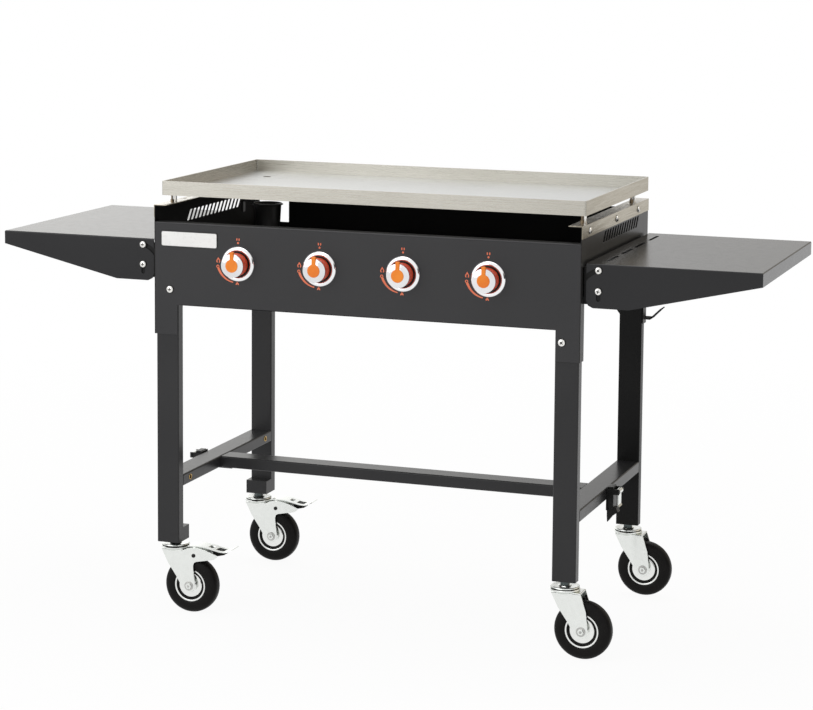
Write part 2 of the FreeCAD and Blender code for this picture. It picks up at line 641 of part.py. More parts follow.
def rim(x, y):
    """Pressed steel wheel centre: bored hub, bulging disc, a deep groove and a bright lip."""
    w = TYRE_W / 2
    side = [(1, AXLE_R + RUNNING), (1, 12), (3, 16), (3, 23), (5, HUB_DISC_R), (9, HUB_DISC_R), (9, RIM_LIP),
            (1.5, RIM_LIP), (1.5, RIM_R)]
    profile = [(-w + dy, r) for dy, r in side] + [(w - dy, r) for dy, r in reversed(side)]
    return turned(profile, (x + TRAIL, y, WHEEL_R))


def tyre(x, y):
    """Rubber tyre with a rounded tread."""
    w = TYRE_W / 2
    side = [(1.5, RIM_R), (0.3, RIM_R + 3), (0, RIM_R + 8), (0.6, WHEEL_R - 11), (2.4, WHEEL_R - 5.5),
            (5.6, WHEEL_R - 1.8), (10, WHEEL_R)]
    profile = [(-w + dy, r) for dy, r in side] + [(w - dy, r) for dy, r in reversed(side)]
    return turned(profile, (x + TRAIL, y, WHEEL_R))


def pedal(x, y):
    """Brake pedal: bent plate over the fork with a window near its raised tip, on a bored barrel."""
    px, pz = x + PEDAL_PIVOT[0], PEDAL_PIVOT[1]
    w = FORK_HALF - 1
    t = 2.5
    barrel = rod((px, y - w, pz), (px, y + w, pz), 5.5)
    top = [(36, 147), (62, 148), (92, 144.5), (120, 140), (139, 148)]
    outline = [(x + dx, z) for dx, z in top] + [(x + dx, z - t) for dx, z in reversed(top)]
    plate = prism([(qx, y - w, qz) for qx, qz in outline], (0, 2 * w, 0))
    web = box(px - 4, px + 4, y - w, y + w, pz, 146)
    window = box(x + 99, x + 117, y - 9, y + 9, 130, 150)
    bore = rod((px, y - w - 1, pz), (px, y + w + 1, pz), PEDAL_PIN_R + RUNNING)
    return barrel.fuse([plate, web]).cut([bore, window]).removeSplitter()


def save(name, shape):
    """Writes one node; a list of solids goes into one file."""
    solid = Part.makeCompound(shape) if isinstance(shape, list) else shape
    bad = [s for s in solid.Solids if not s.isValid()]
    if bad or not solid.Solids:
        raise SystemExit("bad solid in " + name)
    solid.exportStep("parts/%s.step" % name)


def build():
    """Builds and writes every node."""
    os.makedirs("parts", exist_ok=True)
    right_side = side_panel()
    trim = side_trim()
    save("front_panel", front_panel())
    save("rear_panel", rear_panel())
    save("side_panel_right", right_side)
    save("side_panel_left", mirrored(right_side))
    save("side_trims", [trim, mirrored(trim)])
    save("trim_screws", trim_screws())
    save("griddle_plate", griddle_plate())
    save("plate_feet", plate_feet())
    save("burners", [burner(kx) for kx in knob_xs])
    save("burner_rails", burner_rails())
    save("manifold", manifold())
    save("gas_valves", [piece for kx in knob_xs for piece in gas_valve(kx)])
    save("igniters", [igniter(kx) for kx in knob_xs])
    save("gas_inlet", gas_inlet())
    save("knob_bezels", [bezel(kx) for kx in knob_xs])
    for i, kx in enumerate(knob_xs, start=1):
        save("valve_stem_%d" % i, valve_stem(kx))
        save("knob_%d" % i, knob(kx))
    save("cup_bracket", cup_bracket())
    save("grease_cup", grease_cup())

    plain_shelf, grip_slots = shelf()
    bracket = shelf_bracket()
    upper = [shelf_bolt(side, UPPER_BOLT_Z) for side in (-1, 1)]
    lower = [shelf_bolt(side, LOWER_BOLT_Z) for side in (-1, 1)]
    save("shelf_right", plain_shelf.cut(grip_slots))
    save("shelf_left", mirrored(plain_shelf))
    save("shelf_bracket_right", bracket)
    save("shelf_bracket_left", mirrored(bracket))
    save("shelf_hook_bolts", upper + [mirrored(b) for b in upper])
    save("shelf_pivot_bolts_right", lower)
    save("shelf_pivot_bolts_left", [mirrored(b) for b in lower])

    ends = {"front": -1, "rear": 1}
    for end, side in ends.items():
        save("leg_%s_left" % end, leg(-LEG_X, side, PIVOT_LEFT_Z, True))
        save("leg_%s_right" % end, leg(LEG_X, side, PIVOT_RIGHT_Z, False))
    save("leg_bolts", leg_bolts())
    save("crossbar_left", crossbar(-1))
    save("crossbar_right", crossbar(1))
    save("stretcher", stretcher())
    base, lever = latch_base(), latch_lever()
    save("latch_bases", [base, mirrored(base)])
    save("latch_lever_right", lever)
    save("latch_lever_left", mirrored(lever))
    save("rear_cradle", rear_cradle())

    block_y = LEG_Y - (LEG_T + BLOCK_T) / 2
    places = {"front_left": (-LEG_X, -block_y), "rear_left": (-LEG_X, block_y),
              "front_right": (LEG_X, -LEG_Y), "rear_right": (LEG_X, LEG_Y)}
    save("caster_stems", [caster_stem(x, y) for x, y in places.values()])
    for name, (x, y) in places.items():
        braked = name.endswith("left")
        save("fork_" + name, fork(x, y, braked))
        save("rim_" + name, rim(x, y))
        save("tyre_" + name, tyre(x, y))
        if braked:
            save("pedal_" + name, pedal(x, y))


build()
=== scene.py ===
# %% [markdown]
# # An outdoor gas griddle station
# The griddle is a steel tray on a coated sheet body, with two folding shelves, a leg frame and four casters.
# Its solid pieces already exist at their real size. This lesson loads them, gives each a finish, and models
# the pieces whose shape a plain solid can't show: sheet metal, knobs, casters, screws and printed marks.

# %% Load the solid pieces
import math

import bpy
from mathutils import Matrix, Vector


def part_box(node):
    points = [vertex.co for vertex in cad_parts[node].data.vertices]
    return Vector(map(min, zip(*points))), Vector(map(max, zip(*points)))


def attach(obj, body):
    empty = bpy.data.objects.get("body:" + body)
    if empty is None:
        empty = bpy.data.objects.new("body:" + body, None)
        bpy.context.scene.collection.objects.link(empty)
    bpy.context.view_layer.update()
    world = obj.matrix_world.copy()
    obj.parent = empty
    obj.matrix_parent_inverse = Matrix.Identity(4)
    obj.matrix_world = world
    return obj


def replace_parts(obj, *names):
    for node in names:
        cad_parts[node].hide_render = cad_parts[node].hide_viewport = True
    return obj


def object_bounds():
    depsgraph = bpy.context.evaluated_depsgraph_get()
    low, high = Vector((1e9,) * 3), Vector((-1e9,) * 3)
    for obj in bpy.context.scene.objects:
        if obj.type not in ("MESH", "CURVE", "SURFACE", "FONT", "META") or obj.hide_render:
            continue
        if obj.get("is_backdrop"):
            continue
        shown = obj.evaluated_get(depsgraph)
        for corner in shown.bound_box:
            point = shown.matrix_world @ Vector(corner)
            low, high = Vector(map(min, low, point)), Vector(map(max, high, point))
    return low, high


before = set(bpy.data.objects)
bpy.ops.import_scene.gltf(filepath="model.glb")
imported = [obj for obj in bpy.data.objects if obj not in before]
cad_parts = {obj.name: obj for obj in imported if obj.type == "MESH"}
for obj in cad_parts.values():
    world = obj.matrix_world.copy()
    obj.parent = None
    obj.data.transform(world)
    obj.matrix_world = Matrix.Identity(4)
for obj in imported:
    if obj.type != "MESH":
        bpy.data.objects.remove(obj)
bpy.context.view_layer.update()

# %% [markdown]
# The camera stands to the right of the griddle and a little above it. Its place, direction and lens come from
# lining up the body's corners with the picture. The lens is shifted instead of tilted further, so that
# upright legs stay nearly upright, as in a catalogue picture.

# %% Camera
MM = 0.001
FRAME_WIDTH, FRAME_HEIGHT = 813, 710
CAMERA_PLACE = Vector((1.7504, -4.8742, 1.4838))
CAMERA_YAW, CAMERA_PITCH, CAMERA_ROLL = (math.radians(a) for a in (19.23, -6.33, 0.51))
FOCAL_PIXELS = 2439.82
AXIS_PIXEL = (428.23, 187.08)
SENSOR_WIDTH = 36.0

ahead = Vector((-math.sin(CAMERA_YAW) * math.cos(CAMERA_PITCH),
                math.cos(CAMERA_YAW) * math.cos(CAMERA_PITCH), math.sin(CAMERA_PITCH)))
level_right = Vector((math.cos(CAMERA_YAW), math.sin(CAMERA_YAW), 0))
level_up = level_right.cross(ahead)
right = level_right * math.cos(CAMERA_ROLL) + level_up * math.sin(CAMERA_ROLL)
up = level_up * math.cos(CAMERA_ROLL) - level_right * math.sin(CAMERA_ROLL)

bpy.ops.object.select_all(action="DESELECT")
bpy.ops.object.camera_add(location=CAMERA_PLACE)
camera = bpy.context.object
camera.name = "camera"
turn = Matrix((right, up, -ahead)).transposed()
camera.rotation_euler = turn.to_euler()
camera.data.sensor_width = SENSOR_WIDTH
camera.data.lens = FOCAL_PIXELS / FRAME_WIDTH * SENSOR_WIDTH
camera.data.shift_x = (FRAME_WIDTH / 2 - AXIS_PIXEL[0]) / FRAME_WIDTH
camera.data.shift_y = (AXIS_PIXEL[1] - FRAME_HEIGHT / 2) / FRAME_WIDTH
camera.data.clip_end = 100
bpy.context.scene.camera = camera
print("lens", round(camera.data.lens, 1), "mm")

# %% [markdown]
# The floor, the world and every finish are small networks of nodes. One helper adds a node, sets it and links
# whatever feeds it. A second one tells apart the rays that carry the picture from those that carry light.

# %% Helpers for nodes
def add_node(tree, kind, inputs, **settings):
    """Adds a node with its settings; inputs are plain values or other nodes' outputs."""
    node = tree.nodes.new("ShaderNode" + kind)
    for setting, value in settings.items():
        setattr(node, setting, value)
    for socket, value in inputs.items():
        if isinstance(value, bpy.types.NodeSocket):
            tree.links.new(value, node.inputs[socket])
        else:
            node.inputs[socket].default_value = value
    return node


def any_ray(tree, *kinds):
    """1 for the kinds of ray that are named, and 0 for the others."""
    path = add_node(tree, "LightPath", {})
    total = path.outputs["Is %s Ray" % kinds[0]]
    for kind in kinds[1:]:
        pair = {0: total, 1: path.outputs["Is %s Ray" % kind]}
        total = add_node(tree, "Math", pair, operation="MAXIMUM").outputs[0]
    return total


def finish(name, colour, roughness, metallic=0.0):
    """New material with its shader's plain values set."""
    material = bpy.data.materials.new(name)
    material.use_nodes = True
    shader = material.node_tree.nodes["Principled BSDF"]
    shader.inputs["Base Color"].default_value = (*colour, 1)
    shader.inputs["Roughness"].default_value = roughness
    shader.inputs["Metallic"].default_value = metallic
    return material, shader


# %% [markdown]
# The picture is a studio cut-out: white all round, with soft light. A wide floor takes a faint shadow. To the
# camera it is mostly a plain white sheet, and wholly so further out, so that it melts into the white world
# behind it, and the lamps needn't be turned up for that.

# %% Floor
FLOOR_SIZE, FLOOR_DROP = 40, 0.0005
NEAR_SHARE, FAR_SHARE = 0.94, 1.0
NEAR_EDGE, FAR_EDGE = 0.9, 3.2

bpy.ops.mesh.primitive_plane_add(size=FLOOR_SIZE, location=(0, 0, -FLOOR_DROP))
floor = bpy.context.object
floor.name = "studio_floor"
bpy.ops.object.transform_apply(location=True)
floor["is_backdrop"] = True

paper, matt = finish("studio_paper", (0.93, 0.93, 0.93), 0.9)
tree = paper.node_tree
place = add_node(tree, "TexCoord", {})
reach = add_node(tree, "VectorMath", {0: place.outputs["Object"]}, operation="LENGTH")
share = add_node(tree, "MapRange", {"Value": reach.outputs["Value"], "From Min": NEAR_EDGE,
                                    "From Max": FAR_EDGE, "To Min": NEAR_SHARE, "To Max": FAR_SHARE})
shown = {0: any_ray(tree, "Camera", "Glossy"), 1: share.outputs["Result"]}
seen = add_node(tree, "Math", shown, operation="MULTIPLY")
glow = add_node(tree, "Emission", {})
blend = add_node(tree, "MixShader", {"Fac": seen.outputs[0], 1: matt.outputs[0], 2: glow.outputs[0]})
tree.links.new(blend.outputs[0], tree.nodes["Material Output"].inputs["Surface"])
floor.data.materials.append(paper)
print("floor", FLOOR_SIZE, "m wide")

# %% [markdown]
# The world is a pale room. It gives even light from all round, and to the camera, to metal and to glass it
# looks white. Towards the right and the back the room turns to a warm grey for reflections, because the
# right hand faces of the steel in the picture mirror something darker there. Towards the left and the back it
# is brighter, which shows on the left shelf. A black flag to the right of the camera draws the dark bands in
# the chrome and down the edges of the forks.

# %% World
ROOM_LIGHT = 0.55
WARM_CORNER, WARM_TINT = (0.75, 0.66, 0.0), (0.46, 0.415, 0.34)
BLACK_FLAG, FLAG_TINT = (0.93, -0.36, 0.0), (0.05, 0.05, 0.05)
BRIGHT_LEFT, BRIGHT_TINT = (-0.62, 0.77, 0.12), (1.55, 1.54, 1.5)

world = bpy.data.worlds.new("pale_room")
bpy.context.scene.world = world
world.use_nodes = True
tree = world.node_tree
room = tree.nodes["Background"]
room.inputs["Color"].default_value = (1.0, 0.99, 0.975, 1)
room.inputs["Strength"].default_value = ROOM_LIGHT
direction = add_node(tree, "TexCoord", {}).outputs["Generated"]
mirrored = any_ray(tree, "Glossy")


def mirrored_zone(centre, start, full, tint, before):
    """Tints the world for glossy rays round a direction; start and full are cosines."""
    along = add_node(tree, "VectorMath", {0: direction, 1: centre}, operation="DOT_PRODUCT")
    fade = add_node(tree, "MapRange", {"Value": along.outputs["Value"], "From Min": start, "From Max": full},
                    interpolation_type="SMOOTHSTEP")
    only = add_node(tree, "Math", {0: fade.outputs["Result"], 1: mirrored}, operation="MULTIPLY")
    mix = add_node(tree, "Mix", {"Factor": only.outputs[0], "A": before, "B": (*tint, 1)}, data_type="RGBA")
    return mix.outputs["Result"]


warm = mirrored_zone(WARM_CORNER, 0.25, 0.95, WARM_TINT, (1, 1, 1, 1))
flagged = mirrored_zone(BLACK_FLAG, 0.88, 0.955, FLAG_TINT, warm)
bright = mirrored_zone(BRIGHT_LEFT, 0.9, 0.985, BRIGHT_TINT, flagged)
white = add_node(tree, "Background", {"Color": bright})
watched = any_ray(tree, "Camera", "Glossy", "Transmission")
choose = add_node(tree, "MixShader", {"Fac": watched, 1: room.outputs[0], 2: white.outputs[0]})
tree.links.new(choose.outputs[0], tree.nodes["World Output"].inputs["Surface"])
bpy.context.scene.view_settings.view_transform = "Standard"
print("world", world.name)

# %% [markdown]
# Three large soft lamps model the forms: one overhead that lights the tops, one from the front left, and a
# warm one from the right and behind that brings out the right hand faces.

# %% Lamps
def soft_lamp(name, place, target, size, watts, colour):
    """Square area lamp that points from its place to a target."""
    bpy.ops.object.light_add(type="AREA", location=place)
    lamp = bpy.context.object
    lamp.name = name
    lamp.data.size = size
    lamp.data.energy = watts
    lamp.data.color = colour
    lamp.rotation_euler = (Vector(target) - Vector(place)).to_track_quat("-Z", "Y").to_euler()


soft_lamp("lamp_top", (-0.3, 0.4, 3.6), (0, 0, 0.8), 3.0, 46, (1.0, 0.99, 0.98))
soft_lamp("lamp_front", (-2.4, -3.6, 2.4), (0, 0, 0.6), 3.6, 62, (1.0, 1.0, 1.0))
soft_lamp("lamp_right", (3.4, 1.6, 2.2), (0, 0, 0.6), 3.0, 14, (1.0, 0.88, 0.72))

# %% [markdown]
# Every finish starts from the same parts: a shader, a noise read in object coordinates so that it has a real
# scale in metres, and that noise turned into tones, roughness or fine relief. Four small helpers name them.
# Most of a noise lies near its middle, so only the middle is spread over the tones.

# %% Helpers for finishes
NOISE_LOW, NOISE_HIGH = 0.35, 0.65


def grain(material, scale, stretch=(1, 1, 1), detail=2.0):
    """Noise in object coordinates; scale is in cells per metre, and stretch squeezes it along an axis."""
    tree = material.node_tree
    place = add_node(tree, "TexCoord", {})
    fit = add_node(tree, "Mapping", {"Vector": place.outputs["Object"], "Scale": stretch})
    noise = add_node(tree, "TexNoise", {"Vector": fit.outputs["Vector"], "Scale": scale, "Detail": detail})
    return noise.outputs["Fac"]


def roughen(material, shader, factor, low, high):
    """Lets the roughness wander between two values, and returns it."""
    tree = material.node_tree
    node = add_node(tree, "MapRange", {"Value": factor, "From Min": NOISE_LOW, "From Max": NOISE_HIGH,
                                       "To Min": low, "To Max": high})
    tree.links.new(node.outputs["Result"], shader.inputs["Roughness"])
    return node.outputs["Result"]


def tones(material, shader, factor, dark, light):
    """Lets the base colour wander between two tones, and returns it."""
    tree = material.node_tree
    ramp = add_node(tree, "ValToRGB", {"Fac": factor})
    for stop, position, tone in zip(ramp.color_ramp.elements, (NOISE_LOW, NOISE_HIGH), (dark, light)):
        stop.position = position
        stop.color = (*tone, 1)
    tree.links.new(ramp.outputs["Color"], shader.inputs["Base Color"])
    return ramp.outputs["Color"]


def relief(material, shader, factor, depth):
    """Fine relief, with its depth in metres."""
    tree = material.node_tree
    bump = add_node(tree, "Bump", {"Height": factor, "Distance": depth, "Strength": 1.0})
    tree.links.new(bump.outputs["Normal"], shader.inputs["Normal"])


# %% [markdown]
# The body, shelves and legs are powder coated: a charcoal, satin skin with the fine ripple that powder
# leaves as it melts. A rough metal would look too grey and a smooth plastic too wet, so the coat is a plain
# dielectric that is fairly smooth. Seen steeply it is nearly black, and seen flat along a shelf it mirrors
# the white room. Inside the body the coat is painted black and dull as shade, since the inside lies in
# shadow.

# %% Powder coat
COAT_CLOUD, COAT_SATIN, COAT_RIPPLE, RIPPLE_DEEP = 5.0, 60.0, 1300.0, 0.000006
# Painted shade inside the body: a black colour and a dull roughness.
INSIDE_SHADE, INSIDE_SHADE_ROUGHNESS = (0.003, 0.003, 0.003, 1), 0.8
INNER_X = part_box("front_panel")[1].x + 0.0002
INNER_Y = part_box("rear_panel")[1].y - 0.0012


def inside_body(tree):
    """1 on surfaces inside the body's four panels, 0 outside."""
    place = add_node(tree, "TexCoord", {})
    split = add_node(tree, "SeparateXYZ", {0: place.outputs["Object"]})
    within = {}
    for i, (axis, limit) in enumerate((("X", INNER_X), ("Y", INNER_Y))):
        size = add_node(tree, "Math", {0: split.outputs[axis]}, operation="ABSOLUTE")
        within[i] = add_node(tree, "Math", {0: size.outputs[0], 1: limit}, operation="LESS_THAN").outputs[0]
    return add_node(tree, "Math", within, operation="MULTIPLY").outputs[0]


def powder_coat(name, dark, light, roughness, shine=0.25, shaded_inside=False):
    """Charcoal powder coat with a faintly cloudy tone and a fine ripple; shine is its specular level."""
    material, shader = finish(name, light, roughness)
    tree = material.node_tree
    shader.inputs["Specular IOR Level"].default_value = shine
    clean = tones(material, shader, grain(material, COAT_CLOUD, detail=1.0), dark, light)
    gloss = roughen(material, shader, grain(material, COAT_SATIN), roughness - 0.005, roughness + 0.01)
    relief(material, shader, grain(material, COAT_RIPPLE, detail=0.0), RIPPLE_DEEP)
    # Painted shade: inside the body the colour turns black and the coat dull.
    if shaded_inside:
        mask = inside_body(tree)
        shade_mix = add_node(tree, "Mix", {"Factor": mask, "A": clean, "B": INSIDE_SHADE}, data_type="RGBA")
        tree.links.new(shade_mix.outputs["Result"], shader.inputs["Base Color"])
        dull = add_node(tree, "Mix", {"Factor": mask, "A": gloss, "B": INSIDE_SHADE_ROUGHNESS})
        tree.links.new(dull.outputs["Result"], shader.inputs["Roughness"])
    return material


body_coat = powder_coat("body_coat", (0.0245, 0.0245, 0.0265), (0.0265, 0.0265, 0.0285), 0.26, 0.36, True)
side_coat = powder_coat("side_coat", (0.028, 0.0275, 0.027), (0.031, 0.0305, 0.030), 0.28, 0.1, shaded_inside=True)
rear_coat = powder_coat("rear_coat", (0.040, 0.040, 0.0415), (0.043, 0.043, 0.0445), 0.26, 0.06, shaded_inside=True)
shelf_coat = powder_coat("shelf_coat", (0.012, 0.012, 0.0135), (0.014, 0.014, 0.0155), 0.22, 0.32)
tube_coat = powder_coat("tube_coat", (0.025, 0.025, 0.0265), (0.029, 0.029, 0.0305), 0.28)
# Painted shade: a darker copy of the tube coat for the rear right leg, which lies in shadow.
painted_shade_coat = powder_coat("painted_shade_coat", (0.009, 0.009, 0.009), (0.011, 0.011, 0.011), 0.3, 0.1)
# Painted shade: a darker coat for the shelves' channels, which lie in shade behind the flanges; the cup ring
# uses it too.
bracket_shade_coat = powder_coat("bracket_shade_coat", (0.012, 0.012, 0.012), (0.015, 0.015, 0.015), 0.4, 0.12)
cup_coat = powder_coat("cup_coat", (0.006, 0.006, 0.006), (0.009, 0.009, 0.009), 0.3)
cradle_coat = powder_coat("cradle_coat", (0.003, 0.003, 0.003), (0.005, 0.005, 0.005), 0.7, 0.04)
latch_coat = powder_coat("latch_coat", (0.005, 0.005, 0.005), (0.008, 0.008, 0.008), 0.34)
print("powder coats", [m.name for m in bpy.data.materials if m.name.endswith("_coat")])

# %% [markdown]
# The tray and the trims are stainless steel, brushed in one direction. The brush marks are a noise squeezed
# across the marks and drawn out along them. They go into the roughness and a very shallow relief, and a slow
# cloud of warmer and cooler steel keeps the large faces from looking flat.

# %% Brushed steel
ALONG_X, ALONG_Y = (12, 1400, 1400), (1400, 12, 1400)
STEEL_CLOUD, BRUSH_DEEP = 3.0, 0.00003


def brushed_steel(name, dark, light, roughness, stretch):
    """Steel with long brush marks."""
    material, shader = finish(name, light, roughness, 1.0)
    tones(material, shader, grain(material, STEEL_CLOUD, detail=4.0), dark, light)
    marks = grain(material, 1.0, stretch, detail=3.0)
    roughen(material, shader, marks, roughness - 0.07, roughness + 0.09)
    relief(material, shader, marks, BRUSH_DEEP)
    return material


tray_steel = brushed_steel("tray_steel", (0.45, 0.432, 0.385), (0.49, 0.472, 0.425), 0.26, ALONG_X)
# Painted shading: a toned copy of the tray steel for the rear wall's inner face.
rear_wall_shading_steel = brushed_steel("rear_wall_shading_steel", (0.468, 0.452, 0.405), (0.515, 0.50, 0.452), 0.3, ALONG_X)
# Painted reflection: paler and bluish, for the tray's floor that mirrors the room.
floor_reflection_steel = brushed_steel("floor_reflection_steel", (0.505, 0.51, 0.505), (0.56, 0.57, 0.57), 0.34, ALONG_X)
# Painted shade: darker and warmer, for the trims and the tray's outer ends.
trim_steel = brushed_steel("trim_steel", (0.36, 0.325, 0.25), (0.40, 0.36, 0.28), 0.3, ALONG_Y)
# Painted highlight: paler, for the tray's inner end walls and the trims' tops.
end_highlight_steel = brushed_steel("end_highlight_steel", (0.60, 0.57, 0.52), (0.66, 0.63, 0.58), 0.26, ALONG_Y)
print("brushed steels", [m.name for m in bpy.data.materials if m.name.endswith("_steel")])

# %% [markdown]
# Screws, casters and latch levers are zinc plated: bright, slightly bluish, with a soft grain. The bezels are
# chromed and mirror-like, the knob faces silver lacquer, and the wheels' tyres are matt black rubber.

# %% Zinc, chrome, brass and the rest
def clouded(made, dark, light, rough_range, cloud, scale, depth):
    """Gives a plain finish a cloudy tone, and a soft grain in its roughness and relief."""
    material, shader = made
    tones(material, shader, grain(material, cloud, detail=3.0), dark, light)
    fine = grain(material, scale)
    roughen(material, shader, fine, *rough_range)
    relief(material, shader, fine, depth)
    return material


def plain_metal(name, dark, light, roughness, scale, depth):
    """Plated or cast metal."""
    made = finish(name, light, roughness, 1.0)
    return clouded(made, dark, light, (roughness - 0.02, roughness + 0.02), scale / 8, scale, depth)


def moulded(name, dark, light, roughness, scale, depth, shine=0.5):
    """Plastic, rubber or ceramic; shine is its specular level."""
    made = finish(name, light, roughness)
    made[1].inputs["Specular IOR Level"].default_value = shine
    return clouded(made, dark, light, (roughness - 0.05, roughness + 0.06), scale / 10, scale, depth)


zinc = plain_metal("zinc", (0.77, 0.79, 0.765), (0.80, 0.82, 0.795), 0.24, 900.0, 0.000002)
screw_zinc = plain_metal("screw_zinc", (0.80, 0.79, 0.76), (0.86, 0.85, 0.82), 0.2, 500.0, 0.000004)
chrome = plain_metal("chrome", (0.86, 0.86, 0.87), (0.92, 0.92, 0.93), 0.08, 300.0, 0.000004)
stem_steel = plain_metal("stem_steel", (0.42, 0.42, 0.41), (0.52, 0.52, 0.5), 0.35, 600.0, 0.00001)
brown_steel = plain_metal("brown_steel", (0.16, 0.125, 0.085), (0.22, 0.175, 0.12), 0.35, 500.0, 0.00001)
dark_steel = plain_metal("dark_steel", (0.07, 0.085, 0.085), (0.1, 0.115, 0.115), 0.3, 400.0, 0.00001)
burner_steel = plain_metal("burner_steel", (0.34, 0.32, 0.29), (0.46, 0.44, 0.4), 0.4, 200.0, 0.00003)
rim_steel = plain_metal("rim_steel", (0.78, 0.79, 0.77), (0.83, 0.84, 0.82), 0.18, 700.0, 0.000003)
brass = plain_metal("brass", (0.56, 0.36, 0.12), (0.72, 0.5, 0.2), 0.3, 400.0, 0.00002)

rubber = moulded("tyre_rubber", (0.0045, 0.004, 0.0038), (0.0065, 0.0058, 0.0054), 0.42, 700.0, 0.00005, 0.12)
ceramic = moulded("ceramic", (0.72, 0.69, 0.62), (0.82, 0.8, 0.74), 0.35, 300.0, 0.00003)
print("finishes", sorted(m.name for m in bpy.data.materials))

# %% [markdown]
# Each solid piece that keeps its shape gets its finish here, in the slot it came with.

# %% Finishes on the solid pieces
KNOB_COUNT = 4
CORNERS = ("front_left", "rear_left", "front_right", "rear_right")
finish_lists = (
    (body_coat, "front_panel cup_bracket"), (rear_coat, "rear_panel"), (cup_coat, "grease_cup"),
    (side_coat, "side_panel_right side_panel_left"), (trim_steel, "side_trims"), (chrome, "knob_bezels"),
    (tray_steel, "griddle_plate"), (burner_steel, "burners burner_rails"), (stem_steel, "manifold"),
    (brass, "gas_valves gas_inlet"), (ceramic, "igniters"), (shelf_coat, "shelf_right shelf_left"),
    (bracket_shade_coat, "shelf_bracket_right shelf_bracket_left"), (cradle_coat, "rear_cradle"),
    (screw_zinc, "trim_screws plate_feet leg_bolts shelf_hook_bolts"),
    (screw_zinc, "shelf_pivot_bolts_right shelf_pivot_bolts_left"), (latch_coat, "latch_bases"),
    (tube_coat, "stretcher crossbar_left crossbar_right"), (zinc, "latch_lever_right latch_lever_left"),
    (zinc, "caster_stems pedal_front_left pedal_rear_left"),
)
node_finishes = {name: material for material, names in finish_lists for name in names.split()}
for number in range(1, KNOB_COUNT + 1):
    node_finishes["valve_stem_%d" % number] = stem_steel
    node_finishes["knob_%d" % number] = chrome
for corner in CORNERS:
    # The rear right leg gets the darker coat as painted shade.
    node_finishes["leg_" + corner] = painted_shade_coat if corner == "rear_right" else tube_coat
    node_finishes["fork_" + corner] = zinc
    node_finishes["rim_" + corner] = rim_steel
    node_finishes["tyre_" + corner] = rubber
for name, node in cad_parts.items():
    for place in node.material_slots:
        place.material = node_finishes[name]
print("left without a finish", sorted(set(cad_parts) - set(node_finishes)))

# %% [markdown]
# ## Modelling the pieces
# The helpers below stand for what a modeller does over and over. All sizes are given in millimetres and
# turned into metres. The first ones clear the selection, name a piece, and pick faces or edges by where they
# are, to round them or to give them another finish. A direction counts as an axis when its part along that
# axis is over FACING. CLOSE and HAIR are distances in millimetres.

# %% Helpers that pick, round and finish
FACING, CLOSE, HAIR = 0.9, 0.5, 0.1
EASED_ANGLE, TURNED_ANGLE = math.radians(35), math.radians(32)
FACE_WEIGHT, SAME_POINT = 100, 2e-6


def clear_selection():
    """Leaves edit mode and deselects everything."""
    if bpy.context.object and bpy.context.object.mode == "EDIT":
        bpy.ops.object.mode_set(mode="OBJECT")
    bpy.ops.object.select_all(action="DESELECT")


def activate(piece):
    """Makes one piece the selected and active object."""
    clear_selection()
    piece.select_set(True)
    bpy.context.view_layer.objects.active = piece


def dressed(piece, name, material, body, slot, *nodes):
    """Gives a piece its name, body, and finish if one is named; it stands for the nodes that follow. The slot
    is not used.
    """
    piece.name = name
    piece.data.name = name
    if material:
        piece.data.materials.clear()
        piece.data.materials.append(material)
    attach(piece, body)
    if nodes:
        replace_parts(piece, *nodes)
    return piece


def pick(piece, parts, test):
    """Selects faces, edges or vertices in edit mode; test gets a middle point, in mm, and a normal."""
    activate(piece)
    mesh = piece.data
    for group in (mesh.vertices, mesh.edges, mesh.polygons):
        group.foreach_set("select", [False] * len(group))
    for part in getattr(mesh, parts):
        if parts == "polygons":
            middle, normal = part.center, part.normal
        elif parts == "edges":
            ends = [mesh.vertices[i].co for i in part.vertices]
            middle, normal = (ends[0] + ends[1]) / 2, (ends[1] - ends[0]).normalized()
        else:
            middle, normal = part.co, part.normal
        part.select = bool(test(middle / MM, normal))
    bpy.ops.object.mode_set(mode="EDIT")
    kinds = {"vertices": "VERT", "edges": "EDGE", "polygons": "FACE"}
    bpy.ops.mesh.select_mode(type=kinds[parts])


def repaint(piece, material, test):
    """Gives the faces that pass a test one more finish."""
    piece.data.materials.append(material)
    pick(piece, "polygons", test)
    piece.active_material_index = len(piece.data.materials) - 1
    bpy.ops.object.material_slot_assign()
    clear_selection()


def round_off(piece, width, segments, test):
    """Rounds the edges that pass a test."""
    pick(piece, "edges", test)
    bpy.ops.mesh.bevel(offset=width * MM, segments=segments)
    clear_selection()


def ease_edges(piece, width, segments=2, angle=50):
    """Rounds the edges sharper than an angle, shades smoothly, and keeps the large faces flat."""
    activate(piece)
    bpy.ops.object.modifier_add(type="BEVEL")
    bevel = piece.modifiers[-1]
    bevel.width = width * MM
    bevel.segments = segments
    bevel.limit_method = "ANGLE"
    bevel.angle_limit = math.radians(angle)
    bpy.ops.object.modifier_apply(modifier=bevel.name)
    bpy.ops.object.shade_smooth_by_angle(angle=EASED_ANGLE)
    bpy.ops.object.modifier_add(type="WEIGHTED_NORMAL")
    flatten = piece.modifiers[-1]
    flatten.weight = FACE_WEIGHT
    flatten.keep_sharp = True
    bpy.ops.object.modifier_apply(modifier=flatten.name)


def face_outwards():
    """Turns every face in edit mode outwards, and leaves edit mode."""
    bpy.ops.mesh.select_all(action="SELECT")
    bpy.ops.mesh.normals_make_consistent(inside=False)
    bpy.ops.object.mode_set(mode="OBJECT")


# %% [markdown]
# Nearly every piece starts in one of three ways: as a block, as a profile spun about a line, or as an outline
# that is given a thickness. A rod is the simplest profile, and also serves as a drill.

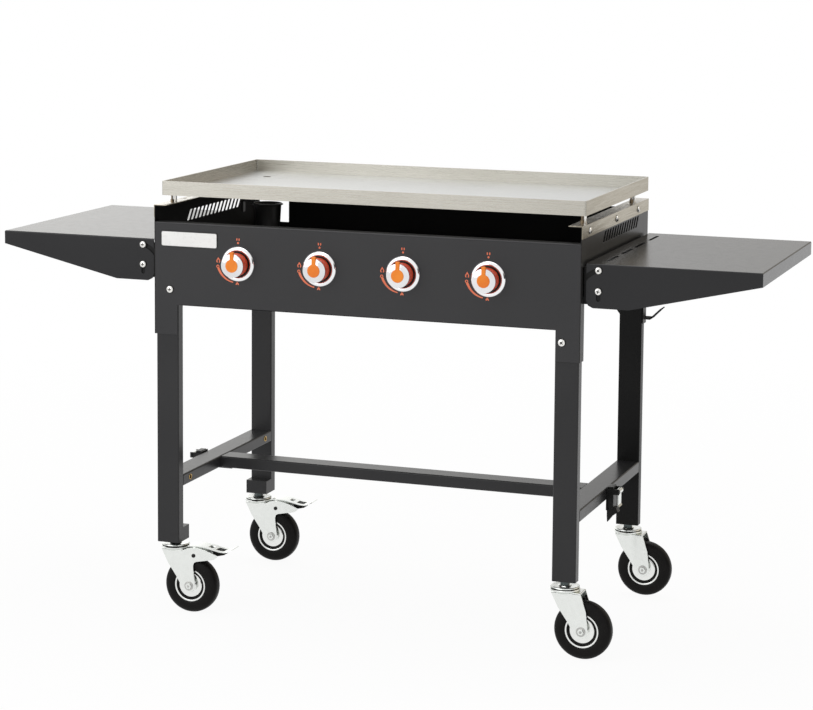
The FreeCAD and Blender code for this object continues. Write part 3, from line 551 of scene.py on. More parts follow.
# %% Helpers that start a piece
def block(x, y, z):
    """Box between pairs of limits, in mm."""
    clear_selection()
    low, high = Vector((x[0], y[0], z[0])) * MM, Vector((x[1], y[1], z[1])) * MM
    bpy.ops.mesh.primitive_cube_add(size=1, location=(low + high) / 2, scale=high - low)
    bpy.ops.object.transform_apply(location=True, scale=True)
    return bpy.context.object


def turned(profile, centre, along="Y", steps=48, closed=False):
    """Piece of revolution: (distance along, radius) pairs in mm, spun about a line through the centre."""
    axis = {"X": Vector((1, 0, 0)), "Y": Vector((0, 1, 0)), "Z": Vector((0, 0, 1))}[along]
    out = {"X": Vector((0, 0, 1)), "Y": Vector((1, 0, 0)), "Z": Vector((1, 0, 0))}[along]
    if closed:
        profile = profile + profile[:1]
    points = [(Vector(centre) + axis * a + out * r) * MM for a, r in profile]
    clear_selection()
    bpy.ops.mesh.primitive_plane_add(size=0.001, location=(0, 0, 0))
    bpy.ops.object.mode_set(mode="EDIT")
    bpy.ops.mesh.select_mode(type="VERT")
    bpy.ops.mesh.select_all(action="SELECT")
    bpy.ops.mesh.merge(type="CENTER")
    bpy.ops.transform.translate(value=points[0])
    for before, after in zip(points, points[1:]):
        bpy.ops.mesh.extrude_vertices_move(TRANSFORM_OT_translate={"value": after - before})
    bpy.ops.mesh.select_all(action="SELECT")
    bpy.ops.mesh.spin(steps=steps, angle=2 * math.pi, center=Vector(centre) * MM, axis=axis)
    bpy.ops.mesh.select_all(action="SELECT")
    bpy.ops.mesh.remove_doubles(threshold=SAME_POINT)
    face_outwards()
    bpy.ops.object.shade_smooth_by_angle(angle=TURNED_ANGLE)
    return bpy.context.object


def rod(radius, start, end, centre, along="Y", steps=24):
    """Plain round rod from start to end, measured along its line from the centre."""
    return turned([(start, 0), (start, radius), (end, radius), (end, 0)], centre, along, steps)


def flat_outline(outline, y):
    """One face with (x, z) corners in mm, in the plane y."""
    clear_selection()
    bpy.ops.mesh.primitive_circle_add(vertices=len(outline), fill_type="NGON")
    piece = bpy.context.object
    for corner, (x, z) in zip(piece.data.vertices, outline):
        corner.co = Vector((x, y, z)) * MM
    return piece


def cut_sheet(outline, low, high):
    """Flat piece with (x, z) corners in mm, between the planes y = low and y = high."""
    piece = flat_outline(outline, low)
    bpy.ops.object.mode_set(mode="EDIT")
    bpy.ops.mesh.select_all(action="SELECT")
    bpy.ops.mesh.extrude_region_move(TRANSFORM_OT_translate={"value": (0, (high - low) * MM, 0)})
    face_outwards()
    return piece


# %% [markdown]
# The last helpers join pieces, carve one with others, and copy a finished shape, each copy with its own mesh.
# A mirrored mesh is turned inside out, so its faces are flipped back.

# %% Helpers that join, carve and copy
MIRROR_X, MIRROR_Y = (-1, 1, 1), (1, -1, 1)


def joined(pieces):
    """Joins pieces into the first one."""
    clear_selection()
    for piece in pieces:
        piece.select_set(True)
    bpy.context.view_layer.objects.active = pieces[0]
    bpy.ops.object.join()
    return bpy.context.object


def carved(piece, tools):
    """Takes the shapes of the tools out of a piece."""
    for tool in tools:
        activate(piece)
        bpy.ops.object.modifier_add(type="BOOLEAN")
        cut = piece.modifiers[-1]
        cut.operation = "DIFFERENCE"
        cut.solver = "EXACT"
        cut.object = tool
        bpy.ops.object.modifier_apply(modifier=cut.name)
        bpy.data.objects.remove(tool)
    return piece


def mirror_mesh(piece, flip):
    """Mirrors a mesh through the origin's planes and turns its faces outwards again."""
    piece.data.transform(Matrix.Diagonal((*flip, 1)))
    piece.data.flip_normals()


def twin_of(piece):
    """Copy with its own mesh."""
    twin = piece.copy()
    twin.data = piece.data.copy()
    bpy.context.scene.collection.objects.link(twin)
    return twin


def copied(piece, offset, name, material, body, slot, *nodes):
    """Dressed copy, moved by an offset in mm."""
    twin = twin_of(piece)
    twin.data.transform(Matrix.Translation(Vector(offset) * MM))
    return dressed(twin, name, material, body, slot, *nodes)


def both_hands(piece, name, material, slot, replaced=None):
    """Right piece and its mirrored left twin, both fixed to the frame; the pattern goes."""
    for side in ("right", "left"):
        twin = twin_of(piece)
        if side == "left":
            mirror_mesh(twin, MIRROR_X)
        nodes = [replaced + side] if replaced else []
        dressed(twin, name + side, material, "root", slot, *nodes)
    bpy.data.objects.remove(piece)
    return twin


def discard(*pieces):
    """Removes patterns that have been copied."""
    for piece in pieces:
        bpy.data.objects.remove(piece)


def middle_of(node):
    """Middle of a solid piece's box, in mm."""
    low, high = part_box(node)
    return (low + high) / 2 / MM


# %% [markdown]
# ## The tray
# The griddle plate is a folded steel tray with welded corners and a drain hole near the rear left corner. It
# starts as a block. The top face is inset by the wall's thickness and pushed down, the upright corners are
# rounded, and a drill takes out the drain. Small rounded edges catch the light as the real folds do.

# %% Tray
TRAY_WALL, TRAY_FLOOR = 3.0, 4.0
OUTER_CORNER, INNER_CORNER = 4.5, 2.5
DRAIN, DRAIN_R, DRAIN_REACH = (-389.0, 158.0), 9.0, 20
tray_low, tray_high = (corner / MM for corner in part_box("griddle_plate"))
floor_top = tray_low.z + TRAY_FLOOR
inner_x, inner_y = tray_high.x - TRAY_WALL, tray_high.y - TRAY_WALL

tray = block(*zip(tray_low, tray_high))
pick(tray, "polygons", lambda middle, normal: normal.z > FACING)
bpy.ops.mesh.inset(thickness=TRAY_WALL * MM)
floor_drop = (tray_high.z - tray_low.z - TRAY_FLOOR) * MM
bpy.ops.mesh.extrude_region_move(TRANSFORM_OT_translate={"value": (0, 0, -floor_drop)})
round_off(tray, OUTER_CORNER, 5,
          lambda middle, way: abs(way.z) > FACING and abs(middle.x) > tray_high.x - HAIR)
round_off(tray, INNER_CORNER, 4,
          lambda middle, way: abs(way.z) > FACING and abs(abs(middle.x) - inner_x) < HAIR)
carved(tray, [rod(DRAIN_R, -DRAIN_REACH, DRAIN_REACH, (*DRAIN, tray_low.z), "Z", 32)])
ease_edges(tray, 0.7, 3)
dressed(tray, "griddle_tray", tray_steel, "plate", "plate_steel", "griddle_plate")
# Painted light and shade: the floor, the rear wall, the outer ends and the inner end walls each get a toned
# copy of the steel.
repaint(tray, floor_reflection_steel,
        lambda middle, normal: normal.z > FACING and abs(middle.z - floor_top) < CLOSE)
repaint(tray, rear_wall_shading_steel, lambda middle, normal: normal.y < -FACING and middle.y > inner_y - CLOSE)
repaint(tray, trim_steel,
        lambda middle, normal: abs(normal.x) > FACING and abs(middle.x) > tray_high.x - CLOSE)
repaint(tray, end_highlight_steel, lambda middle, normal: normal.x * middle.x < -FACING * abs(middle.x)
        and abs(middle.x) > inner_x - CLOSE)
print("tray", [round(v, 1) for v in tray.dimensions / MM], "mm")

# %% [markdown]
# The tray stands on four feet at its corners. Each one is a bright post with a browned nut beside it, and
# both stand on the trim. A post and a nut are spun, the nut with six steps, and all of them are joined.

# %% Feet of the tray
FOOT_R = 7.0
POST_SHIFT, NUT_SHIFT = (3.3, 2.4), (-1.6, -2.6)
foot_low, foot_high = (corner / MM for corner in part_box("plate_feet"))
foot_tall = foot_high.z - foot_low.z
POST = [(0, 0), (0, 3.5), (0.4, 3.6), (foot_tall, 3.6), (foot_tall, 0)]
NUT = [(0, 0), (0, 3.7), (5.2, 3.7), (5.6, 3.2), (5.6, 2.2), (foot_tall, 2.2), (foot_tall, 0)]


def at_feet(profile, shift, steps):
    """One spun piece beside the middle of each foot, all joined."""
    return joined([turned(profile, (x + shift[0], y + shift[1], foot_low.z), "Z", steps)
                   for x in (foot_low.x + FOOT_R, foot_high.x - FOOT_R)
                   for y in (foot_low.y + FOOT_R, foot_high.y - FOOT_R)])


dressed(at_feet(NUT, NUT_SHIFT, 6), "tray_foot_nuts", brown_steel, "plate", "screw_zinc")
dressed(at_feet(POST, POST_SHIFT, 24), "tray_foot_posts", screw_zinc, "plate", "screw_zinc", "plate_feet")
print("feet", round(foot_tall, 1), "mm tall")

# %% [markdown]
# ## Knobs and bezels
# Each knob is a red skirt, a silver front ring and an orange pointer shaped like a keyhole. Around it sits a
# chromed bezel on the panel, with a thin black ring inside it, painted shade for the dark gap round the knob.
# All but the pointer are round about the valve's axis, so a profile is drawn point by point and spun. The
# pointer's outline is a disc that runs into a narrow neck, so it is cut as a sheet and its edges are rounded.

# %% Plastics of the knobs
skirt_red = moulded("skirt_red", (0.62, 0.055, 0.018), (0.72, 0.085, 0.03), 0.35, 400.0, 0.00002)
pointer_orange = moulded("pointer_orange", (0.88, 0.2, 0.004), (0.96, 0.27, 0.01), 0.42, 260.0, 0.00006)
# Painted shade: this black stands for the dark gap inside each bezel and for the plate's shadow round its
# rim.
painted_shade_black = moulded("painted_shade_black", (0.006, 0.006, 0.006), (0.012, 0.012, 0.012), 0.5, 500.0, 0.00003)
cap_silver = plain_metal("cap_silver", (0.74, 0.74, 0.75), (0.82, 0.82, 0.83), 0.11, 200.0, 0.000003)
print("knob finishes", [m.name for m in (skirt_red, pointer_orange, painted_shade_black, cap_silver)])

# %% Knobs
PANEL_Y = -266.0
SKIRT = [(0, 4.2), (0, 23.6), (-2, 24), (-8, 23.8), (-15, 22.8), (-22, 21.4), (-24.2, 21), (-24.2, 4.2)]
CAP = [(-24, 4), (-24, 22.4), (-25, 24.2), (-26.2, 24.9), (-27.3, 24.6), (-27.8, 23.6), (-27.9, 22.2),
       (-28.3, 20.4), (-29, 17), (-29.4, 14), (-29.4, 0)]
BEZEL = [(0, 27.6), (0, 37), (-2.2, 37.2), (-4.6, 36.4), (-6.6, 34.6), (-7.8, 32), (-8, 30), (-7.6, 28.5),
         (-7, 27.9)]
SHADE_RING = [(-0.1, 7), (-0.1, 27.5), (-1.2, 27.5), (-1.2, 7)]
POINTER_DISC_R, POINTER_NECK, POINTER_REACH, POINTER_SLOPE = 13.6, 4.5, 29.2, 2
POINTER_FRONT, POINTER_BACK, POINTER_STEPS = 31.0, 24.0, 28
stem_places = [middle_of("valve_stem_%d" % number) for number in range(1, KNOB_COUNT + 1)]


def round_point(x, z, radius, degrees):
    """Point on a circle that faces the front."""
    angle = math.radians(degrees)
    return x + radius * math.cos(angle), z + radius * math.sin(angle)


def pointer_outline(x, z):
    """Keyhole: most of a circle, and a neck upwards."""
    gap = math.degrees(math.asin(POINTER_NECK / POINTER_DISC_R))
    disc = [round_point(x, z, POINTER_DISC_R, 90 - gap - (360 - 2 * gap) * i / POINTER_STEPS)
            for i in range(POINTER_STEPS + 1)]
    tip = z + POINTER_REACH
    return disc + [(x - POINTER_NECK, tip - 1), (x - POINTER_NECK + POINTER_SLOPE, tip),
                   (x + POINTER_NECK - POINTER_SLOPE, tip), (x + POINTER_NECK, tip - 1)]


for number, at in enumerate(stem_places, 1):
    body = "knob_%d" % number
    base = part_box(body)[1].y / MM
    skirt = turned(SKIRT, (at.x, base, at.z), closed=True)
    dressed(skirt, "knob_skirt_%d" % number, skirt_red, body, "knob_silver")
    cap = turned(CAP, (at.x, base, at.z))
    dressed(cap, "knob_cap_%d" % number, cap_silver, body, "knob_silver", body)
    pointer = cut_sheet(pointer_outline(at.x, at.z), base - POINTER_FRONT, base - POINTER_BACK)
    ease_edges(pointer, 1.2, 3)
    dressed(pointer, "knob_pointer_%d" % number, pointer_orange, body, "knob_silver")
    bezel = turned(BEZEL, (at.x, PANEL_Y, at.z), steps=64, closed=True)
    dressed(bezel, "bezel_%d" % number, chrome, "root", "bezel_chrome")
    # Painted shade: a thin black ring inside the bezel stands for the dark gap round the knob.
    dark_ring = turned(SHADE_RING, (at.x, PANEL_Y, at.z), closed=True)
    dressed(dark_ring, "bezel_washer_%d" % number, painted_shade_black, "root", "black_coat")
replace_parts(bezel, "knob_bezels")
print("knobs at z", round(at.z, 1), "mm")

# %% [markdown]
# ## Printed marks
# The front panel carries salmon coloured marks round each knob: two prongs and a dot at off, a large flame at
# high, a small ring, a tapering arc and a small flame at low. They are prints, but a thin relief shows in any
# light, so each is a sheet a quarter of a millimetre thick. A table gives each outline its place from the
# knob's axis and its scale, and the ring is spun.

# %% Marks
mark_salmon = moulded("mark_salmon", (0.74, 0.16, 0.075), (0.84, 0.21, 0.1), 0.5, 500.0, 0.00001)
MARK_THICK, SUNK = 0.25, 0.02
ARC_START, ARC_SWEEP, ARC_STEPS = 193, 60, 14
ARC_RADII, ARC_HALVES = (46.5, 40.8), (2.6, 1.1)
EYE_X, EYE_Z, EYE_IN, EYE_OUT = -46.5, -7.5, 1.7, 3.4
EYE = [(SUNK, EYE_IN), (SUNK, EYE_OUT), (-MARK_THICK, EYE_OUT), (-MARK_THICK, EYE_IN)]
DOT = [round_point(0, 0, 1, degrees) for degrees in range(0, 360, 20)]
FLAME = [(0, 1), (0.45, 0.45), (0.85, -0.1), (0.9, -0.6), (0.55, -1), (0.25, -0.8), (0.48, -0.35), (0.3, 0),
         (0, 0.3), (-0.3, 0), (-0.48, -0.35), (-0.25, -0.8), (-0.55, -1), (-0.9, -0.6), (-0.85, -0.1),
         (-0.45, 0.45)]
LOW_FLAME = [(0, 1), (0.6, 0.4), (0.95, -0.3), (0.85, -1), (0.35, -0.8), (0, -0.2), (-0.35, -0.8),
             (-0.85, -1), (-0.95, -0.3), (-0.6, 0.4)]
PRONG = [(-0.8, 1), (0.8, 1), (1, 0), (0.7, -1), (-0.7, -1), (-1, 0)]


def between(ends, share):
    """Value at a share of the way from the first end to the second."""
    return ends[0] + (ends[1] - ends[0]) * share


def arc_outline():
    """Arc from the high flame to the low one that gets thinner."""
    outer, inner = [], []
    for i in range(ARC_STEPS + 1):
        share = i / ARC_STEPS
        radius, half = between(ARC_RADII, share), between(ARC_HALVES, share)
        outer.append(round_point(0, 0, radius + half, ARC_START + ARC_SWEEP * share))
        inner.append(round_point(0, 0, radius - half, ARC_START + ARC_SWEEP * share))
    return outer + inner[::-1]


MARKS = ((PRONG, (-3.4, 51.0), (1.3, 2.6)), (PRONG, (1.6, 51.0), (1.3, 2.6)),
         (DOT, (-0.9, 43.8), (2.2, 2.2)), (arc_outline(), (0, 0), (1, 1)),
         (FLAME, (-45.5, 6), (4.8, 6.0)), (LOW_FLAME, (-2.5, -41.2), (3.8, 3.2)))
for number, at in enumerate(stem_places, 1):
    marks = []
    for outline, (x, z), (wide, high) in MARKS:
        corners = [(at.x + x + px * wide, at.z + z + pz * high) for px, pz in outline]
        marks.append(cut_sheet(corners, PANEL_Y - MARK_THICK, PANEL_Y + SUNK))
    marks.append(turned(EYE, (at.x + EYE_X, PANEL_Y, at.z + EYE_Z), steps=20, closed=True))
    dressed(joined(marks), "dial_marks_%d" % number, mark_salmon, "root", "black_coat")
print("marks round", len(stem_places), "knobs")

# %% [markdown]
# The white plate at the upper left is a sheet with rounded corners, whose front is inset by a rim's width and
# pushed in. Its narrow rim and its edges are painted black, a painted shadow of the plate.

# %% White plate
plate_white = moulded("plate_white", (0.9, 0.9, 0.89), (0.95, 0.95, 0.94), 0.3, 120.0, 0.00002)
PLATE_X, PLATE_Z, PLATE_R = (-449.4, -320.6), (791.6, 824.9), 4.6
PLATE_THICK, PLATE_RIM, PLATE_SET = 1.4, 1.6, 0.35


def rounded_outline(xs, zs, radius):
    """Corners of a rectangle with rounded corners."""
    centres = [(xs[1] - radius, zs[1] - radius, 0), (xs[0] + radius, zs[1] - radius, 90),
               (xs[0] + radius, zs[0] + radius, 180), (xs[1] - radius, zs[0] + radius, 270)]
    return [round_point(x, z, radius, start + 18 * i) for x, z, start in centres for i in range(6)]


name_plate = cut_sheet(rounded_outline(PLATE_X, PLATE_Z, PLATE_R), PANEL_Y - PLATE_THICK, PANEL_Y + SUNK)
pick(name_plate, "polygons", lambda middle, normal: normal.y < -FACING)
bpy.ops.mesh.inset(thickness=PLATE_RIM * MM)
bpy.ops.mesh.extrude_region_move(TRANSFORM_OT_translate={"value": (0, PLATE_SET * MM, 0)})
clear_selection()
ease_edges(name_plate, 0.35, 2, 40)
dressed(name_plate, "name_plate", plate_white, "root", "knob_silver")
# Painted shadow: the plate's rim and edges are painted black.
repaint(name_plate, painted_shade_black,
        lambda middle, normal: middle.y < PANEL_Y - PLATE_THICK + 0.2 or abs(normal.y) < 0.5)
print("plate", round(PLATE_X[1] - PLATE_X[0], 1), "mm wide")

# %% [markdown]
# ## Sheet metal of the body
# The front panel is a sheet with a tab at each end for a leg, holes for the knobs' stems, and folds along its
# top and bottom edges. The top fold starts as a bar with an L section, and its outer corner is rounded wider
# than any other edge, because it draws a thin bright line under the tray.

# %% Front panel
BODY_X, BODY_Y, SHEET = 463.5, -PANEL_Y, 1.5
PANEL_TOP, PANEL_LOW, TAB_LOW, TAB_WIDE = 843.0, 668.0, 605.0, 50.0
FOLD_LOW, FOLD_BACK, FOLD_ROUND = 839.8, -244.0, 2.6
LOWER_FOLD_INSET, LOWER_FOLD_DEEP = 8, 14
LEG_BOLTS = ((-429.0, 701.0), (427.0, 644.0))
STEM_HOLE_R, BOLT_HOLE_R, KNOB_Z = 6.0, 4.2, 763.0
DRILL_REACH, PAST = 4, 5


def tabbed_outline(half, tab, low, high):
    """Outline of a panel with a tab of a given width at each end, down to the legs' tops."""
    inner = half - tab
    return [(-half, TAB_LOW), (-inner, TAB_LOW), (-inner, low), (inner, low), (inner, TAB_LOW),
            (half, TAB_LOW), (half, high), (-half, high)]


sheet = cut_sheet(tabbed_outline(BODY_X, TAB_WIDE, PANEL_LOW, FOLD_LOW), -BODY_Y, -BODY_Y + SHEET)
fold = block((-BODY_X, BODY_X), (-BODY_Y, FOLD_BACK), (FOLD_LOW, PANEL_TOP))
hollow = block((-BODY_X - PAST, BODY_X + PAST), (-BODY_Y + SHEET, FOLD_BACK + PAST),
               (FOLD_LOW - PAST, PANEL_TOP - SHEET))
carved(fold, [hollow])
round_off(fold, FOLD_ROUND, 5,
          lambda middle, way: middle.y < -BODY_Y + HAIR and middle.z > PANEL_TOP - HAIR)
fold_x = BODY_X - TAB_WIDE - LOWER_FOLD_INSET
lower_fold = block((-fold_x, fold_x), (-BODY_Y, -BODY_Y + LOWER_FOLD_DEEP), (PANEL_LOW, PANEL_LOW + SHEET))
holes = [rod(STEM_HOLE_R, -DRILL_REACH, DRILL_REACH, (at.x, -BODY_Y, KNOB_Z)) for at in stem_places]
holes += [rod(BOLT_HOLE_R, -DRILL_REACH, DRILL_REACH, (x, -BODY_Y, z)) for x, z in LEG_BOLTS]
carved(sheet, holes)
for part in (sheet, fold, lower_fold):
    ease_edges(part, 0.25, 1)
panel = joined([sheet, fold, lower_fold])
dressed(panel, "front_sheet", body_coat, "root", "black_coat", "front_panel")
print("front panel", [round(v) for v in panel.dimensions / MM], "mm")

# %% [markdown]
# Each side panel has a row of slanted vents, a narrow tab at each end that reaches down the leg, and an
# inward flange on top. The outline is cut as a sheet facing the front and then turned a quarter. One vent is
# made for each place in the row, and they are taken out of the sheet together. The left panel is the right
# one's mirror image.

# %% Side panels
SIDE_LOW, SIDE_HIGH, SIDE_TAB, FLANGE_WIDE = 722.0, 877.0, 26.0, 22.5
VENTS, VENT_PITCH, VENT_START, VENT_LOW = 14, 20.2, -100.5, 826.0
VENT_TALL, VENT_LEAN, VENT_HALF, VENT_ROUND = 23.0, 17.0, 6.2, 2.4
FLANGE_HOLES, FLANGE_HOLE_R = ((454.0, -137.0), (454.0, 130.0)), 4


def turned_quarter(piece):
    """Turns a sheet that faces the front so that it faces the right."""
    piece.data.transform(Matrix.Rotation(math.radians(90), 4, "Z"))
    return piece


def flange_drills(z):
    """Drills for the holes of a flange whose top is at z."""
    return [rod(FLANGE_HOLE_R, -DRILL_REACH, DRILL_REACH, (x, y, z), "Z") for x, y in FLANGE_HOLES]


side = turned_quarter(cut_sheet(tabbed_outline(BODY_Y, SIDE_TAB, SIDE_LOW, SIDE_HIGH),
                                -BODY_X - SHEET, -BODY_X))
vents = []
for i in range(VENTS):
    y, high = VENT_START + VENT_PITCH * i, VENT_LOW + VENT_TALL
    vent = cut_sheet([(y - VENT_HALF, VENT_LOW), (y + VENT_HALF, VENT_LOW), (y + VENT_HALF + VENT_LEAN, high),
                      (y - VENT_HALF + VENT_LEAN, high)], -BODY_X - SHEET - 2, -BODY_X + 2)
    round_off(vent, VENT_ROUND, 3, lambda middle, way: abs(way.y) > FACING)
    vents.append(turned_quarter(vent))
carved(side, [joined(vents)])
flange = block((BODY_X - FLANGE_WIDE, BODY_X), (-BODY_Y, BODY_Y), (SIDE_HIGH - SHEET, SIDE_HIGH))
carved(flange, flange_drills(SIDE_HIGH))
for part in (side, flange):
    ease_edges(part, 0.25, 1)
both_hands(joined([side, flange]), "side_sheet_", side_coat, "black_coat", "side_panel_")
print("side panels with", VENTS, "vents each")

# %% [markdown]
# The bright trim is an angle over each side panel's top edge. A bar is hollowed from below and inside, and
# drilled like the flange under it. Its top gets a paler steel than its side, as a painted highlight.

# %% Trims
TRIM_OUT, TRIM_IN, TRIM_LOW, TRIM_HIGH = 466.2, 437.0, 852.0, 878.2
trim = block((TRIM_IN, TRIM_OUT), (-BODY_Y, BODY_Y), (TRIM_LOW, TRIM_HIGH))
hollow = block((TRIM_IN - PAST, BODY_X + SHEET), (-BODY_Y - PAST, BODY_Y + PAST),
               (TRIM_LOW - PAST, SIDE_HIGH))
carved(trim, [hollow] + flange_drills(TRIM_HIGH))
ease_edges(trim, 0.4)
trim.data.materials.append(trim_steel)
repaint(trim, end_highlight_steel, lambda middle, normal: normal.z > FACING and middle.z > TRIM_HIGH - CLOSE)
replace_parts(both_hands(trim, "trim_angle_", None, "trim_steel"), "side_trims")
print("trims up to z", TRIM_HIGH, "mm")

# %% [markdown]
# The grease cup is a tapered pail with a rolled bead, spun from one profile. It hangs in a thin ring, and an
# arm joins the ring to the left side panel.

# %% Cup and its ring
CUP_X, CUP_Y, CUP_LOW, CUP_HIGH = -391.0, 166.0, 762.0, 839.0
RING_TOP, RING_THICK, RING_IN, RING_OUT = 837.0, 1.6, 31.4, 35
ARM_Y, ARM_IN, ARM_LOW = (190, 203), -414, 812
pail = turned([(CUP_LOW, 0), (CUP_LOW, 26), (CUP_LOW + 1, 27), (CUP_HIGH - 2.4, 31), (CUP_HIGH - 2.2, 32.2),
               (CUP_HIGH - 1.0, 32.8), (CUP_HIGH, 32.2), (CUP_HIGH, 30.6), (CUP_HIGH - 2, 29.8),
               (CUP_LOW + 1.5, 25.8), (CUP_LOW + 1.5, 0)], (CUP_X, CUP_Y, 0), "Z", 64)
dressed(pail, "cup_pail", cup_coat, "cup", "cup_black", "grease_cup")
ring_low = RING_TOP - RING_THICK
ring = turned([(ring_low, RING_IN), (ring_low, RING_OUT), (RING_TOP, RING_OUT), (RING_TOP, RING_IN)],
              (CUP_X, CUP_Y, 0), "Z", 64, closed=True)
wall_x = -BODY_X + 0.05
arm = block((wall_x, ARM_IN), ARM_Y, (ring_low, RING_TOP - 0.1))
tab = block((wall_x, -BODY_X + 2), ARM_Y, (ARM_LOW, ring_low))
for part in (arm, tab):
    ease_edges(part, 0.4)
dressed(joined([ring, arm, tab]), "cup_ring", bracket_shade_coat, "root", "black_coat", "cup_bracket")
print("cup", CUP_HIGH - CUP_LOW, "mm tall")

# %% [markdown]
# The shelves hang on channels whose ears carry the bolts and close the slots from behind. An ear is cut as a
# sheet and drilled twice, and a web along the body joins it to the other one.

# %% Shelf channels
EAR_OUT, EAR_Y, EAR_LOW, EAR_HIGH, EAR_THICK, EAR_CUT = 508.0, 251.7, 722.0, 796.0, 2.5, 8
CHANNEL_X, WEB_THICK, WEB_LOW = 465.05, 2, 737.0
BOLT_X, HOOK_Z, PIVOT_Z = 497.0, 791.0, 749.0
BORE_R, BORE_FROM, BORE_TO = 4.1, -4, 6
ear_edge = [(CHANNEL_X, EAR_LOW), (EAR_OUT - EAR_CUT, EAR_LOW), (EAR_OUT, EAR_LOW + EAR_CUT),
            (EAR_OUT, EAR_HIGH), (CHANNEL_X, EAR_HIGH)]
ears = []
for ear_y in (-EAR_Y, EAR_Y - EAR_THICK):
    bores = [rod(BORE_R, BORE_FROM, BORE_TO, (BOLT_X, ear_y, z)) for z in (HOOK_Z, PIVOT_Z)]
    ears.append(carved(cut_sheet(ear_edge, ear_y, ear_y + EAR_THICK), bores))
web = block((CHANNEL_X, CHANNEL_X + WEB_THICK), (-EAR_Y, EAR_Y), (WEB_LOW, EAR_HIGH))
channel = joined(ears + [web])
ease_edges(channel, 0.25, 1)
both_hands(channel, "shelf_channel_", bracket_shade_coat, "black_coat", "shelf_bracket_")
print("channels", EAR_HIGH - EAR_LOW, "mm tall")

# %% [markdown]
# ## Screws
# The bright pan head screws with a cross recess are the only fasteners that show. One is modelled facing the
# user: a domed head is spun, a cross of two blocks is taken out of it, the faces inside the cross are painted
# black as shade, and a thin black ring under the head and a shank follow, with a hexagonal nut on the
# shelves' screws. Copies are turned and moved to each place, and each is rolled by some degrees more than the
# one before.

# %% One screw
SCREW_NUT_R, SCREW_NUT_THICK, SCREW_NUT_MIDDLE = 7, 5.4, 2.9
ROLL_START, ROLL_STEP = 10, 17


def cross_screw(radius, height, shank_r, shank, nut_at=None):
    """Pan head screw that faces -Y, with its head's underside at the origin."""
    head = turned([(0, 0), (0, radius), (-0.35 * height, radius), (-0.62 * height, 0.94 * radius),
                   (-0.85 * height, 0.76 * radius), (-height, 0.42 * radius), (-1.02 * height, 0)],
                  (0, 0, 0), steps=32)
    wing, thick = 0.52 * radius, 0.13 * radius
    upright = block((-thick, thick), (-1.2 * height, -0.45 * height), (-wing, wing))
    level = block((-wing, wing), (-1.2 * height, -0.45 * height), (-thick, thick))
    carved(head, [upright, level])
    head.data.materials.append(screw_zinc)
    # Painted shade: the faces inside the cross recess get the black latch coat.
    deep = -0.5 * height
    repaint(head, latch_coat, lambda middle, normal: -0.9 * height < middle.y < -0.1
            and math.hypot(middle.x, middle.z) < 0.6 * radius and (abs(normal.y) < 0.3 or middle.y > deep))
    dark_ring = turned([(0, 0), (0, 1.16 * radius), (-0.5, 1.16 * radius), (-0.7, 1.05 * radius), (-0.7, 0)],
                    (0, 0, 0), steps=32)
    dark_ring.data.materials.append(latch_coat)
    end = shank + 0.4
    shaft = turned([(0, 0), (0, shank_r), (shank, shank_r), (end, 0.8 * shank_r), (end, 0)], (0, 0, 0),
                   steps=24)
    parts = [head, dark_ring, shaft]
    if nut_at is not None:
        clear_selection()
        bpy.ops.mesh.primitive_cylinder_add(vertices=6, radius=SCREW_NUT_R * MM, depth=SCREW_NUT_THICK * MM,
                                            location=(0, (nut_at + SCREW_NUT_MIDDLE) * MM, 0),
                                            rotation=(math.pi / 2, 0, 0))
        bpy.ops.object.transform_apply(location=True, rotation=True)
        nut = bpy.context.object
        ease_edges(nut, 0.5, 2, 40)
        parts.append(nut)
    return joined(parts)


def placed_screws(pattern, spots, name, body, node):
    """Copies a screw to spots of (x, y, z, turn about Z in degrees), each rolled a little, and joins them."""
    copies = []
    for x, y, z, turn_deg in spots:
        twin = twin_of(pattern)
        spin = Matrix.Rotation(math.radians(turn_deg), 4, "Z")
        roll = Matrix.Rotation(math.radians(ROLL_STEP * len(copies) + ROLL_START), 4, "Y")
        twin.data.transform(Matrix.Translation(Vector((x, y, z)) * MM) @ spin @ roll)
        copies.append(twin)
    dressed(joined(copies), name, None, body, "screw_zinc", node)


# %% [markdown]
# Three sizes are needed: long ones with nuts for the shelves, the largest heads on the legs, and small ones
# along the trims. The patterns go once their copies are placed.

# %% Screws of the shelves, legs and trims
SHELF_FACE, LEG_FACE, TRIM_SCREW_Z = 254.4, 266.05, 864.5
TRIM_SCREW_YS = (-211, -3, 175)
shelf_screw = cross_screw(7.0, 4.2, 4.0, 14.2, 4.9)
ends = ((-SHELF_FACE, 0), (SHELF_FACE, 180))
placed_screws(shelf_screw, [(x, y, HOOK_Z, t) for x in (-BOLT_X, BOLT_X) for y, t in ends],
              "hook_screws", "root", "shelf_hook_bolts")
for side, x in (("left", -BOLT_X), ("right", BOLT_X)):
    placed_screws(shelf_screw, [(x, y, PIVOT_Z, t) for y, t in ends], "pivot_screws_" + side,
                  "shelf_pivot_" + side, "shelf_pivot_bolts_" + side)
leg_screw = cross_screw(7.5, 4.5, 3.9, 2.6)
leg_spots = [(x, y, z, t) for x, z in LEG_BOLTS for y, t in ((-LEG_FACE, 0), (LEG_FACE, 180))]
placed_screws(leg_screw, leg_spots, "leg_screws", "root", "leg_bolts")
trim_screw = cross_screw(6.2, 3.8, 1.8, 1.0)
trim_spots = [(s * TRIM_OUT, y, TRIM_SCREW_Z, s * 90) for s in (-1, 1) for y in TRIM_SCREW_YS]
placed_screws(trim_screw, trim_spots, "trim_screws_bright", "root", "trim_screws")
discard(shelf_screw, leg_screw, trim_screw)
print("screws on the legs", len(leg_spots), "and on the trims", len(trim_spots))

